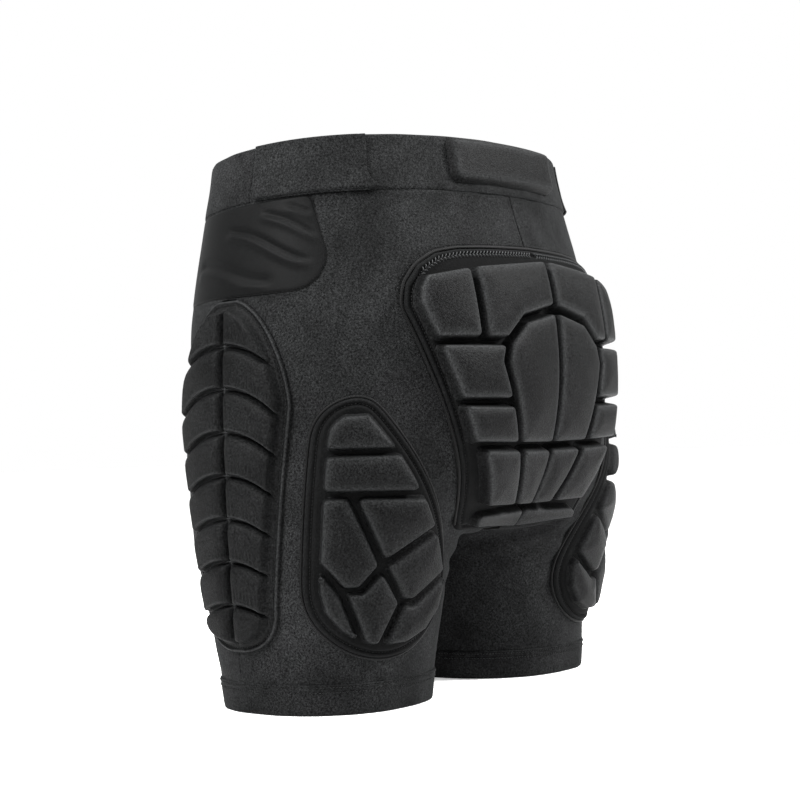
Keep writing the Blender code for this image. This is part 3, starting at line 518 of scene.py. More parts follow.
def pillow(outline, wall, place, crown=0.0, reach=0.008, low=0.0, step=0.0024, spacing=0.0013, radius=0.004,
           painted_highlight_at=None, shape=None):
    """Closed padded solid over an outline. `wall` lists (inset, height) from its foot to its rim; inside
    the rim the top rises by `crown` over about `reach`, plus `shape(points, distance)`."""
    ring = rounded(outline, radius, spacing)
    normal = inward(ring)
    rings = [ring + normal * inset for inset, _ in wall]
    last = rings[-1]
    lo, hi = last.min(axis=0), last.max(axis=0)
    gx, gy = np.meshgrid(np.arange(lo[0], hi[0], step), np.arange(lo[1], hi[1], step * 0.866))
    gx = gx + (np.arange(gx.shape[0]) % 2)[:, None] * step / 2
    inner = np.stack([gx.ravel(), gy.ravel()], axis=1)
    inner = inner[edge_gap(inner, last) > step * 0.55]
    flat = np.vstack([last, inner])
    count = len(ring)
    loop = [(j, (j + 1) % count) for j in range(count)]
    found, _, triangles, origins, *_ = delaunay_2d_cdt([Vector(p) for p in flat], loop, [], 1, 1e-7)
    where = np.array([v[:] for v in found])
    gap = np.clip(edge_gap(where, last), 0, None)
    top = wall[-1][1] + crown * (1 - np.exp(-(gap / reach)))
    if shape is not None:
        top = top + shape(where, gap)
    flats = np.concatenate([*rings[:-1], where, where])
    heights = [*[np.full(count, h) for _, h in wall[:-1]], top, np.full(len(where), low)]
    points = place(flats[:, 0], flats[:, 1], np.concatenate(heights))
    walls = len(wall) - 1
    base = walls * count
    slot_of = {origin[0]: i for i, origin in enumerate(origins) if origin and origin[0] < count}
    faces = []
    for r in range(walls):
        for j in range(count):
            k = (j + 1) % count
            lower = (r * count + j, r * count + k)
            if r + 1 < walls:
                upper = ((r + 1) * count + k, (r + 1) * count + j)
            else:
                upper = (base + slot_of[k], base + slot_of[j])
            faces.append((*lower, *upper))
    under = base + len(where)
    for face in triangles:
        faces.append(tuple(base + i for i in face))
        faces.append(tuple(under + i for i in reversed(face)))
    for j in range(count):
        k = (j + 1) % count
        faces.append((k, j, under + slot_of[j], under + slot_of[k]))
    # Painted highlight: each wall ring takes its listed share, and the top takes a share that fades inwards
    # from the rim. Together they paint a light line along the rims.
    painted_highlight = np.zeros(len(points))
    if painted_highlight_at is not None:
        for r in range(walls):
            painted_highlight[r * count:(r + 1) * count] = painted_highlight_at[r]
        painted_highlight[base:under] = painted_highlight_at[-1] * np.exp(-(gap / 0.0022)**2)
    return solid(points, faces, painted_highlight)


def left_half(part):
    """The part cut at x = 0, its left half as a closed solid."""
    bm = bmesh.new()
    layer = bm.verts.layers.float.new("painted_highlight")
    made = [bm.verts.new(p) for p in part.points]
    for vert, value in zip(made, part.painted_highlight):
        vert[layer] = value
    for face in part.faces:
        bm.faces.new([made[i] for i in face])
    everything = [*bm.verts, *bm.edges, *bm.faces]
    cut = bmesh.ops.bisect_plane(bm, geom=everything, dist=1e-6, plane_co=(CENTRE_GAP, 0, 0),
                                 plane_no=(1, 0, 0), clear_inner=True)
    rim = [e for e in cut["geom_cut"] if isinstance(e, bmesh.types.BMEdge)]
    bmesh.ops.holes_fill(bm, edges=rim, sides=0)
    bm.verts.index_update()
    left = Part([v.co[:] for v in bm.verts], [[v.index for v in f.verts] for f in bm.faces],
                [v[layer] for v in bm.verts])
    bm.free()
    return left


def tube(path, normals, radius, sides=8, closed=False):
    """Round tube along a path of points that lies on a surface."""
    p = np.asarray(path, float)
    along = unit(np.roll(p, -1, axis=0) - np.roll(p, 1, axis=0) if closed else np.gradient(p, axis=0))
    side = unit(np.cross(along, normals))
    up = np.cross(side, along)
    turn = np.linspace(0, 2 * math.pi, sides, endpoint=False)[None, :, None]
    ring = (side[:, None] * np.cos(turn) + up[:, None] * np.sin(turn)) * radius
    return solid((p[:, None] + ring).reshape(-1, 3), ring_faces(len(p), sides, closed))


# Along one stitch: how far, how thick, and how far its middle stands over the fabric, as shares.
STITCH_SHAPE = np.array(((0.0, 0.12, 0.5, 0.88, 1.0), (0.25, 0.85, 1.0, 0.85, 0.25),
                         (-1.0, 0.2, 1.0, 0.2, -1.0)))


def stitches(path, normals, pitch=0.0026, share=0.62, radius=0.00028, lift=0.0002, slant=0.0):
    """Row of separate thread stitches along a path that lies on a surface."""
    p, n = np.asarray(path, float), np.asarray(normals, float)
    run = run_of(p)
    starts = np.arange(0, run[-1] - pitch, pitch)
    steps, sizes, depth = STITCH_SHAPE
    at = starts[:, None] + steps[None, :] * pitch * share
    centre = np.stack([np.interp(at, run, p[:, k]) for k in range(3)], axis=-1)
    up = unit(np.stack([np.interp(at, run, n[:, k]) for k in range(3)], axis=-1))
    side = unit(np.cross(unit(centre[:, -1:] - centre[:, :1]), up))
    centre = centre + up * (lift + depth * radius)[None, :, None]
    centre = centre + side * ((steps - 0.5) * slant)[None, :, None]
    count = len(steps)
    turn = np.linspace(0, 2 * math.pi, count, endpoint=False)[None, None, :, None]
    ring = side[:, :, None] * np.cos(turn) + up[:, :, None] * np.sin(turn)
    points = centre[:, :, None] + ring * (sizes * radius)[None, :, None, None]
    one = ring_faces(count, count, closed=False)
    faces = [[i + count**2 * k for i in face] for k in range(len(starts)) for face in one]
    return Part(points, faces)


# ---- materials -----------------------------------------------------------------------------------
def nodes_of(name):
    made = bpy.data.materials.new(name)
    made.use_nodes = True
    tree = made.node_tree
    return made, tree, tree.nodes["Principled BSDF"]


def node(tree, kind, links=(), **values):
    made = tree.nodes.new(kind)
    for key, value in values.items():
        if key.startswith("in_"):
            made.inputs[int(key[3:])].default_value = value
        else:
            setattr(made, key, value)
    for socket, source in links:
        tree.links.new(source, made.inputs[socket])
    return made


def dial(shader, **values):
    """Set a node's inputs by name, with underscores for spaces."""
    for key, value in values.items():
        shader.inputs[key.replace("_", " ")].default_value = value


def ramp(tree, source, stops):
    made = node(tree, "ShaderNodeValToRGB", [(0, source)])
    band = made.color_ramp
    while len(band.elements) < len(stops):
        band.elements.new(0.5)
    for element, (at, colour) in zip(band.elements, stops):
        element.position = at
        element.color = (*colour, 1.0)
    return made.outputs[0]


def grey(value, cool=0.03):
    return (value * (1 - cool), value, value * (1 + cool * 0.6))


def noise(tree, place, scale, detail=2.0, roughness=0.5):
    made = node(tree, "ShaderNodeTexNoise", [(0, place)])
    dial(made, Scale=scale, Detail=detail, Roughness=roughness)
    return made.outputs["Fac"]


def cells(tree, place, scale):
    made = node(tree, "ShaderNodeTexVoronoi", [(0, place)])
    dial(made, Scale=scale)
    return made.outputs["Distance"]


def multiplied(tree, first, second):
    return node(tree, "ShaderNodeMix", [(6, first), (7, second)], data_type="RGBA", blend_type="MULTIPLY",
                in_0=1.0).outputs[2]


def raised(tree, shader, height, strength, distance):
    """Bump that turns the shader's normal with `height`."""
    relief = node(tree, "ShaderNodeBump", [("Height", height)])
    dial(relief, Strength=strength, Distance=distance)
    tree.links.new(relief.outputs[0], shader.inputs["Normal"])


def knit(name, dark, light, roughness, sheen, grain=1.0, bump=0.35, painted_highlight_gain=1.0, patches=0.35):
    """Speckled knitted fabric: fine grain, larger tonal patches, a painted highlight along the rims that
    the mesh marks, and a knitted bump.
    """
    made, tree, shader = nodes_of(name)
    place = node(tree, "ShaderNodeTexCoord").outputs["Object"]
    speck = noise(tree, place, 760 * grain, 3.0, 0.62)
    cloud = noise(tree, place, 26, 5.0, 0.6)
    tone = ramp(tree, speck, [(0.34, grey(dark)), (0.56, grey((dark + light) / 2)), (0.72, grey(light))])
    flecks = ramp(tree, cells(tree, place, 620 * grain),
                  [(0.0, (1.45,) * 3), (0.22, (1.0,) * 3), (1.0, (0.9,) * 3)])
    shade = ramp(tree, cloud, [(0.3, (1 - patches,) * 3), (0.7, (1 + patches,) * 3)])
    cloth = multiplied(tree, multiplied(tree, tone, flecks), shade)
    # Painted highlight: the mesh's per-point value, broken up by the speckle and scaled by the gain, mixes
    # the colour towards four times the light tone.
    painted_highlight = node(tree, "ShaderNodeAttribute", attribute_name="painted_highlight").outputs["Fac"]
    patchy = ramp(tree, speck, [(0.35, (0.35,) * 3), (0.65, (1.0,) * 3)])
    broken = node(tree, "ShaderNodeMath", [(0, painted_highlight), (1, patchy)], operation="MULTIPLY")
    amount = node(tree, "ShaderNodeMath", [(0, broken.outputs[0])], operation="MULTIPLY", use_clamp=True,
                  in_1=painted_highlight_gain)
    edge = node(tree, "ShaderNodeMix", [(0, amount.outputs[0]), (6, cloth)], data_type="RGBA",
                blend_type="MIX", in_7=(*grey(light * 4.0), 1.0))
    tree.links.new(edge.outputs[2], shader.inputs["Base Color"])
    rough = node(tree, "ShaderNodeMapRange", [(0, cloud)])
    dial(rough, To_Min=roughness - 0.06, To_Max=roughness + 0.06)
    tree.links.new(rough.outputs[0], shader.inputs["Roughness"])
    loops = noise(tree, place, 1500)
    height = node(tree, "ShaderNodeMath", [(0, speck), (1, loops)], operation="ADD").outputs[0]
    raised(tree, shader, height, bump, 0.00045)
    dial(shader, Sheen_Weight=sheen, Sheen_Roughness=0.45, Sheen_Tint=(0.75, 0.78, 0.8, 1.0),
         Specular_IOR_Level=0.03)
    return made


def thread(name, colour, roughness=0.5):
    made, tree, shader = nodes_of(name)
    place = node(tree, "ShaderNodeTexCoord").outputs["Object"]
    tone = ramp(tree, noise(tree, place, 2600), [(0.3, grey(colour * 0.6)), (0.7, grey(colour * 1.3))])
    tree.links.new(tone, shader.inputs["Base Color"])
    dial(shader, Roughness=roughness, Specular_IOR_Level=0.06, Sheen_Weight=0.02)
    return made


def nap(name, colour):
    """Hook-and-loop face: a dense field of tiny loops."""
    made, tree, shader = nodes_of(name)
    place = node(tree, "ShaderNodeTexCoord").outputs["Object"]
    loops = cells(tree, place, 900)
    tone = ramp(tree, loops, [(0.1, grey(colour * 2.2)), (0.6, grey(colour * 0.5))])
    tree.links.new(tone, shader.inputs["Base Color"])
    raised(tree, shader, loops, 0.8, 0.0006)
    dial(shader, Roughness=0.75, Sheen_Weight=0.3)
    return made


KNIT = knit("charcoal_knit", 0.0010, 0.0150, 0.80, sheen=0.012, bump=0.5, patches=0.42)
STRETCH = knit("smooth_stretch", 0.0010, 0.0036, 0.55, sheen=0.01, grain=1.6, bump=0.12, patches=0.2)
# The foam and the backing get a weaker painted rim highlight.
FOAM = knit("laminated_foam", 0.0003, 0.0088, 0.50, sheen=0.0, bump=0.7, painted_highlight_gain=0.7)
BACKER = knit("pad_backing", 0.0008, 0.0030, 0.8, sheen=0.01, painted_highlight_gain=0.6)
TRIM = thread("piping_trim", 0.0014, 0.6)
THREAD = thread("seam_thread", 0.0035)
PALE_THREAD = thread("chevron_thread", 0.035)
DARK = thread("seam_shadow", 0.001, 0.9)
HOOK = nap("hook_and_loop", 0.010)


# ---- riding helpers ------------------------------------------------------------------------------
BLEND_SPAN = (-0.085, -0.022)   # span along BLEND_WAY that bend() turns into a start and an end, which it does not use
BLEND_WAY = (1.0, 0.15, -1.0)


def bend(piece, side):
    """Bakes the piece's transform into its mesh; the span across that side's hip joint is worked out but
    not used.
    """
    way = Vector(BLEND_WAY)
    start, end = (way * (v / way.length_squared) for v in BLEND_SPAN)
    if side == "right":
        start.x, end.x = -start.x, -end.x
    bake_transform(piece)


def on_hips(name, part, finish):
    """Single piece that rides the hips and stands for the CAD node of its name."""
    piece = build(name, part, finish)
    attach(piece, "hips")
    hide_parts(name)


def both_sides(name, part, finish, replaces=(), ride=None):
    """Left piece and its mirrored right one; `ride` names a body to attach them to, or else they go through
    bend(), which bakes their transforms.
    """
    for side, shape in (("left", part), ("right", part.mirrored())):
        piece = build(f"{side}_{name}", shape, finish)
        if ride is None:
            bend(piece, side)
        else:
            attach(piece, ride.replace("SIDE", side))
        if replaces:
            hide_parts(*[n.replace("SIDE", side) for n in replaces])


def lifted(place, line, height):
    """Points of a flat line laid over a surface at `height`, and the surface's outward normals there."""
    u, v = line[:, 0], line[:, 1]
    low, high = place(u, v, np.zeros(len(u))), place(u, v, np.full(len(u), MM))
    normal = (high - low) / MM
    return low + normal * height, normal


# ---- fabric --------------------------------------------------------------------------------------
SEAM_LIPS = np.array((0.0, 0.0004, 0.0009, 0.0016, 0.0026))
SHELL_STEP = 0.0022     # largest distance between rows
SHELL_COLUMNS = 112
SHELL_LOW = 0.0205      # the fabric starts inside the hem's fold
INSERT_SINK = 0.0022    # how far it drops under the hip insert
SIDE_SEAM_TOP = 0.300   # the side seam ends where the insert begins


def end_angles(z):
    """First and last angle of the left half at height z: at x = 0, or where the leg closes on itself."""
    first = angle_at(z, (1, 0, 0), 0.0, -90, 80)
    last = angle_at(z, (1, 0, 0), 0.0, 100, 270)
    closed = z <= CROTCH
    return np.where(closed, math.radians(-90), first), np.where(closed, math.radians(270), last)


def shell_heights(low, high):
    """Row heights of the fabric, closer where it turns under the crotch."""
    arch = CROTCH - LEG_GAP_HIGH
    fine = np.unique(np.concatenate([
        np.linspace(low, arch, 300), arch + LEG_GAP_HIGH * np.sin(np.linspace(0, math.pi / 2, 80)),
        CROTCH + (high - CROTCH) * np.linspace(0, 1, 900)**3]))
    first, last = end_angles(fine)
    run = np.zeros(len(fine))
    for angle in (first, last, np.full(len(fine), math.radians(90))):
        run[1:] = np.maximum(run[1:], np.linalg.norm(np.diff(skin(fine, angle), axis=0), axis=1))
    run = np.cumsum(run)
    rows = np.interp(np.linspace(0, run[-1], int(run[-1] / SHELL_STEP)), run, fine)
    rows[np.argmin(np.abs(rows - CROTCH))] = CROTCH
    return rows


def seam_profile(gap, depth=0.0007):
    """Height of fabric beside a sewn seam: a fine valley between two soft lips."""
    return -depth * np.exp(-(gap / 0.00045)**2) + 0.3 * depth * np.exp(-((gap - 0.0016) / 0.0009)**2)


def insert_outline():
    """Outline (arc position, height) of the smooth stretch insert on the left hip."""
    y, z, radius = INSERT_CORNER
    rear = [*arc((y, z), (radius, radius), -90, 20), (INSERT_END, BAND_SEAM - 0.001)]
    across = np.array([c[0] for c in rear])
    up = np.array([c[1] for c in rear])
    run = arc_of(side_angle(across, up))
    front = arc_of(angle_at(np.array([ARC_Z]), (1, 0, 0), INSERT_FRONT_X, 1, 80))[0]
    return [(front, INSERT_LOW), *zip(run, up), (front, BAND_SEAM - 0.001)]


ARC_Z = 0.335           # distances round the hip are measured along the section at this height
ARC_ANGLES = np.linspace(0, math.pi, 721)
ARC_RUN = run_of(skin(ARC_Z, ARC_ANGLES))


def arc_of(angle):
    return np.interp(angle, ARC_ANGLES, ARC_RUN)


def on_hip(s, z, height):
    return offset(z, np.interp(s, ARC_RUN, ARC_ANGLES), height)


RIPPLE = 0.00035        # depths of the fabric's fine ripples, its broad waves, and the folds under the seat
BROAD_WAVE = 0.00045
SEAT_FOLD = 0.0011


def folds(points):
    """Soft, shallow waves of tight fabric, deepest under the seat."""
    x, y, z = points[..., 0], points[..., 1], points[..., 2]
    wave = RIPPLE * np.sin(210 * x + 90 * z + 3 * np.sin(40 * z)) * np.sin(60 * y + 35 * z + 1.3)
    wave += BROAD_WAVE * np.sin(75 * z + 38 * x + 2.0 * np.sin(31 * y))
    under_seat = np.exp(-((z - 0.115) / 0.030)**2) * ease((y - 0.02) / 0.05)
    wave += under_seat * SEAT_FOLD * np.sin(330 * (z - 0.35 * np.abs(x)) + 2.0)
    return wave


def shell_columns(heights):
    """For each row, the angles of its columns and their distances to the side seam and the row's ends."""
    first, last = end_angles(heights)
    side = side_angle(SIDE_SEAM_Y, heights)
    lips = SEAM_LIPS[:-1]
    columns = []
    for z, a, b, c in zip(heights, first, side, last):
        stretches = []
        for start, stop in ((a, b), (b, c)):
            fine = np.linspace(start, stop, 500)
            run = run_of(skin(z, fine))
            length = run[-1]
            middle = np.linspace(SEAM_LIPS[-1], length - SEAM_LIPS[-1], SHELL_COLUMNS)
            at = np.concatenate([lips, middle, length - lips[::-1]])
            stretches.append(np.stack([np.interp(at, run, fine), at, length - at]))
        front, back = stretches
        columns.append(np.concatenate([front[[0, 2, 1]], back[:, 1:]], axis=1))
    return np.array(columns).transpose(1, 0, 2)


def welded(points, faces):
    """Part whose points that coincide are joined."""
    bm = bmesh.new()
    made = [bm.verts.new(p) for p in points]
    for face in faces:
        bm.faces.new([made[i] for i in face])
    bmesh.ops.remove_doubles(bm, verts=bm.verts, dist=2e-6)
    bm.verts.index_update()
    joined = solid([v.co[:] for v in bm.verts], [[v.index for v in f.verts] for f in bm.faces])
    bm.free()
    return joined


def fabric_shell():
    """Fabric of the left half, hem to waistband: one closed sheet, open where it meets the right half."""
    heights = shell_heights(SHELL_LOW, BAND_SEAM - 0.0004)
    angles, to_side, to_end = shell_columns(heights)
    z = np.repeat(heights[:, None], angles.shape[1], axis=1)
    base, normal = skin(z, angles), outward(z, angles)
    open_rows = heights > CROTCH
    height = folds(base)
    height += seam_profile(to_side) * (z < SIDE_SEAM_TOP)
    height += seam_profile(to_end, 0.0009) * open_rows[:, None]
    place = np.stack([arc_of(angles), z], axis=-1)
    sunk = edge_gap(place, insert_outline()).reshape(z.shape)
    height -= INSERT_SINK * ease(sunk / 0.0025) * (base[..., 0] > 0.02)
    outer = base + normal * height[..., None]
    inner = base - normal * (FABRIC + 0.0003)
    for face in (outer, inner):
        face[open_rows, 0, 0] = face[open_rows, -1, 0] = CENTRE_GAP * 1.2
        middle = (face[~open_rows, 0] + face[~open_rows, -1]) / 2
        face[~open_rows, 0] = face[~open_rows, -1] = middle
    rows, columns = z.shape
    layer = rows * columns
    faces = grid_faces(rows, columns) + grid_faces(rows, columns, base=layer, flip=True)
    bottom = np.arange(columns)
    top = bottom[::-1] + layer - columns
    opened = np.flatnonzero(open_rows) * columns
    opened = np.concatenate(([opened[0] - columns], opened))
    for line in (bottom, top, opened[::-1], opened + columns - 1):
        faces += [(b, a, layer + a, layer + b) for a, b in zip(line[:-1], line[1:])]
    return welded(np.concatenate([outer.reshape(-1, 3), inner.reshape(-1, 3)]), faces)


HEM_POINTS = 260
# Round the folded hem, outside then inside: height and distance from the skin.
HEM_PROFILE = ((0.0, 0.0003), (0.0003, 0.0008), (0.0012, 0.0011), (0.0035, 0.0012), (0.0090, 0.0011),
               (0.0150, 0.0010), (0.0165, 0.0007), (0.0172, 0.0009), (0.0190, 0.0010), (0.0202, 0.0007),
               (0.0209, 0.0009), (0.0217, 0.0010), (0.0222, 0.0006), (0.0224, -0.0004), (0.0222, -0.0030),
               (0.0150, -0.0036), (0.0060, -0.0036), (0.0012, -0.0034), (0.0003, -0.0028), (0.0, -0.0018))
HEM_ROWS = (0.0168, 0.0205)     # heights of its two rows of stitches


def leg_hem():
    """Folded hem: a band doubled over at the bottom, with a step above its two stitch rows."""
    angles = np.linspace(0, 2 * math.pi, HEM_POINTS, endpoint=False)
    wave = 0.00025 * np.sin(7 * angles + 1.0) + 0.0002 * np.sin(16 * angles)
    rings = []
    for z, out in HEM_PROFILE:
        normal = outward(np.full(HEM_POINTS, max(z, MM)), angles)
        normal[:, 2] = 0
        point = skin(z, angles) + unit(normal) * (out + wave)[:, None]
        point[:, 2] = z
        rings.append(point)
    return solid(np.concatenate(rings), ring_faces(len(rings), HEM_POINTS, closed=True))


def hem_rows():
    """Two rows of stitches round the hem."""
    angles = np.linspace(math.radians(-89), math.radians(269), 500)
    parts = []
    for z in HEM_ROWS:
        normal = outward(np.full(len(angles), z), angles)
        parts.append(stitches(skin(z, angles) + normal * 0.0009, normal, pitch=0.0024))
    return merged(parts)


# Round the doubled waistband, outside then inside: height and distance from the skin.
BAND_PROFILE = ((0.3708, -0.0004), (0.3710, 0.0003), (0.3716, 0.0008), (0.3728, 0.0010), (0.3760, 0.0011),
                (0.3800, 0.0011), (0.3850, 0.0010), (0.3900, 0.0009), (0.3950, 0.0009), (0.4000, 0.0010),
                (0.4050, 0.0011), (0.4085, 0.0011), (0.4103, 0.0009), (0.4114, 0.0004), (0.4120, -0.0004),
                (0.4119, -0.0013), (0.4112, -0.0021), (0.4098, -0.0026), (0.4000, -0.0027),
                (0.3900, -0.0028), (0.3800, -0.0027), (0.3716, -0.0025), (0.3709, -0.0018))
BAND_SPLIT_Y = -0.0025          # the seam between the front and rear bands
BAND_SWELL = 0.0006             # the front band thickens towards that seam,
BAND_SWELL_REACH = 0.42         # over this many radians


def waistband(name, start, stop, count):
    """Stretch of the waistband between two angles: doubled fabric with rolled edges."""
    angles = np.linspace(start, stop, count)
    rings = []
    for z, out in BAND_PROFILE:
        base = skin(z, angles)
        normal = outward(np.full(count, z), angles)
        wave = 0.00035 * np.sin(9 * angles + 30 * z) + 0.0002 * np.sin(23 * angles + 1.1)
        if name == "front" and out > 0:
            reach = np.minimum(np.abs(angles - start), np.abs(stop - angles))
            out = out + BAND_SWELL * ease(1 - reach / BAND_SWELL_REACH)
        rings.append(base + normal * (out + wave)[:, None])
    return solid(np.stack(rings, axis=1), ring_faces(count, len(BAND_PROFILE), closed=False))


# The tab's curved end: heights, and how far back it reaches there. It sweeps along the band's lower seam.
TAB_HEIGHTS = (0.371, 0.3735, 0.377, 0.383, 0.392, 0.4125)
TAB_REACH = (0.0845, 0.0815, 0.0785, 0.0755, 0.0740, 0.0715)
TAB_SPAN = (0.3712, 0.4120)     # lower and upper edge
TAB_MIDDLE = 0.3919     # below this height the tab's root is cut back, to clear the band when it opens
TAB_LEVEL = 0.0029      # its middle layer lies this far over the skin
TAB_ROUND = 0.0012      # radius of its edges


def rounded_rim(edge, radius):
    """Share of full thickness at a distance `edge` from a rounded rim."""
    return np.sqrt(np.clip(1 - (1 - np.clip(edge / radius, 0, 1))**2, 0, 1))


def waist_tab():
    """Hook-and-loop tab: rounded sheet from its seam at the side to its curved end."""
    heights = np.concatenate([np.linspace(0.3716, 0.3740, 4), np.linspace(0.3755, 0.4090, 16),
                              np.linspace(0.4100, 0.4116, 3)])
    last = 0.9 + 0.1 * np.sin(np.linspace(0, math.pi / 2, 14))
    z, a = np.meshgrid(heights, np.concatenate([np.linspace(0, 0.9, 44), last[1:]]), indexing="ij")
    end = smooth(z, TAB_HEIGHTS, TAB_REACH)
    root = 0.0002 + 0.14 * np.clip(TAB_MIDDLE - z, 0.0, None)
    y = root + (end - root) * a
    from_end = end - y
    edge = np.minimum(np.minimum(z - TAB_SPAN[0], TAB_SPAN[1] - z), from_end + 0.0001)
    full = rounded_rim(edge, TAB_ROUND)
    sewn = -0.00035 * np.exp(-((from_end - 0.0030) / 0.0005)**2)
    return slab(on_side(y, z, TAB_LEVEL + 0.0012 * full + sewn), on_side(y, z, TAB_LEVEL - 0.0011 * full))


PATCH_SPAN = (0.018, 0.070)
PATCH_HEIGHTS = (0.377, 0.406)


def loop_patch():
    """Flat rectangle of loops that the tab sticks to."""
    (low_y, high_y), (low_z, high_z) = PATCH_SPAN, PATCH_HEIGHTS
    z, y = np.meshgrid(np.linspace(low_z, high_z, 24), np.linspace(low_y, high_y, 40), indexing="ij")
    edge = np.minimum(np.minimum(z - low_z, high_z - z), np.minimum(y - low_y, high_y - y)) + 0.0002
    top = 0.0006 + 0.0010 * ease(edge / 0.0012) + 0.0001 * np.sin(2100 * y) * np.sin(2300 * z)
    return slab(on_side(y, z, top), on_side(y, z, np.full(z.shape, 0.0004)))


# ---- pads ----------------------------------------------------------------------------------------
def thigh_edge():
    """Closed edge of the thigh pad."""
    inner_side, outer_side = [], []
    for turn in np.linspace(0, math.pi / 2, 20):
        z = THIGH_MIDDLE[1] + (THIGH_TOP - 0.0002 - THIGH_MIDDLE[1]) * math.sin(turn)
        inner, outer = thigh_span(z)
        inner_side.append((inner, z))
        outer_side.append((outer, z))
    edge = evenly(arc(THIGH_MIDDLE, THIGH_ROUND, -180, 0, 16)[1:-1] + outer_side + inner_side[::-1], 0.0015)
    return softened(edge, 40)


def drawn_in(cell):
    """A cell's outline moved from the middle of its grooves to the block's side."""
    p = leftward(cell)
    along = np.roll(p, -1, axis=0) - p
    after = unit(np.stack([-along[:, 1], along[:, 0]], axis=1))
    way = unit(after + np.roll(after, 1, axis=0))
    reach = GROOVE_SIDE / np.clip(np.sum(way * after, axis=1), 0.45, 1)
    return p + way * reach[:, None]


GROOVE_SIDE = BLOCK_GROOVE * 0.35    # from the middle of a groove to the foot of its sloping side
SEAT_WALL = [(-0.0014, 0.0036), (-0.0011, 0.0042), (-0.0007, 0.0050), (-0.0002, 0.0064), (0.0003, 0.0085),
             (0.0007, 0.0108), (0.0011, 0.0128), (0.0015, 0.0140), (0.0020, 0.0149), (0.0026, 0.0154),
             (0.0034, 0.0157)]
CROTCH_SHARE = 0.8      # the crotch block is this much lower than the others
# Painted highlight of each seat block wall ring, foot to rim: strongest at the rounded rim.
SEAT_PAINTED_HIGHLIGHT = [0, 0, 0, 0, 0, 0.05, 0.2, 0.5, 0.8, 0.7, 0.4]
THIGH_WALL = [(-0.0012, 0.0038), (-0.0006, 0.0044), (0.0, 0.0052), (0.0005, 0.0066), (0.0009, 0.0082),
              (0.0014, 0.0097), (0.0020, 0.0108), (0.0028, 0.0115), (0.0036, 0.0119)]
# Painted highlight of each thigh block wall ring, foot to rim: strongest near the rim.
THIGH_PAINTED_HIGHLIGHT = [0, 0, 0, 0, 0.1, 0.3, 0.45, 0.35, 0.2]
BORDER_WALL = [(-0.0034, -0.0006), (-0.0031, 0.0012), (-0.0026, 0.0026), (-0.0018, 0.0035),
               (-0.0009, 0.0037), (0.0, 0.0033), (0.0006, 0.0025), (0.0011, 0.0022), (0.0017, 0.0026),
               (0.0024, 0.0036), (0.0032, 0.0043), (0.0042, PAD_FLOOR)]
# Painted highlight of each ring of the border: strongest on the outer slope of its raised lip.
BORDER_PAINTED_HIGHLIGHT = [0, 0.1, 0.35, 0.35, 0.2, 0.1, 0, 0, 0, 0.1, 0.1, 0]


def block_top(points, gap):
    """Slight unevenness of a foam block's face."""
    u, v = points[:, 0], points[:, 1]
    return 0.00018 * np.sin(190 * u + 70 * v) * np.sin(150 * v + 1.0) * ease(gap / 0.006)


def seat_pad():
    half = seat_half_edge()
    outline = half + [(-x, z) for x, z in half[-2::-1]]
    border = pillow(outline, BORDER_WALL, on_seat, low=0.0004, step=0.0034, spacing=0.0016, radius=0.006,
                    painted_highlight_at=BORDER_PAINTED_HIGHLIGHT)
    both_sides("seat_pad_backing", left_half(border), BACKER, ["seat_pad_backing"])
    for name, cell in seat_cells().items():
        look = {"low": 0.003, "painted_highlight_at": SEAT_PAINTED_HIGHLIGHT, "shape": block_top}
        if name == "crotch_block":
            wall = [(inset * CROTCH_SHARE, height * CROTCH_SHARE) for inset, height in SEAT_WALL]
            part = pillow(drawn_in(cell), wall, on_seat, crown=0.0008, step=0.002, radius=0.0040, **look)
        else:
            part = pillow(drawn_in(cell), SEAT_WALL, on_seat, crown=0.0022, reach=0.010, radius=0.0046,
                          **look)
        both_sides(f"seat_{name}", part, FOAM, [f"SIDE_seat_{name}"])


def seat_edge_line(grow, low_z, high_x=1.0):
    """Line (x, z) beside the seat pad's edge, from low on the left side up to the middle of the back."""
    line = evenly(seat_half_edge(), 0.0008, closed=False)
    for _ in range(30):
        line[1:-1] = (line[:-2] + line[1:-1] * 2 + line[2:]) / 4
    along = np.gradient(line, axis=0)
    moved = line + unit(np.stack([along[:, 1], -along[:, 0]], axis=1)) * grow
    moved[-1, 0] = 0.0
    return moved[(moved[:, 1] > low_z) & (moved[:, 0] < high_x) & (moved[:, 0] >= 0.0)]


# Stitch rows: distance outside the pad's edge, height, and for the chevrons their slant.
SEAT_ROWS_SEWN = ((-0.0013, 0.0026), (0.0072, 0.0002))
CHEVRONS = ((-0.0028, 0.0046, 0.0022), (-0.0006, 0.0042, -0.0022))
THIGH_ROWS_SEWN = ((-0.0010, 0.0024), (0.0050, 0.0002))


def seat_trim():
    """Piping outside the seat pad, stitches on each side of its border, and a tape of chevrons on top."""
    cord = tube(*lifted(on_seat, seat_edge_line(0.0046, 0.131), 0.0011), 0.00125)
    both_sides("seat_pad_piping", cord, TRIM, ["seat_pad_piping"])
    rows = [stitches(*lifted(on_seat, seat_edge_line(grow, 0.133), height))
            for grow, height in SEAT_ROWS_SEWN]
    both_sides("seat_pad_stitching", merged(rows), THREAD)
    tape = [stitches(*lifted(on_seat, seat_edge_line(grow, 0.300, 0.114), height), pitch=0.0034, share=0.55,
                     radius=0.00045, lift=0.0004, slant=slant)
            for grow, height, slant in CHEVRONS]
    both_sides("seat_pad_chevrons", merged(tape), PALE_THREAD)


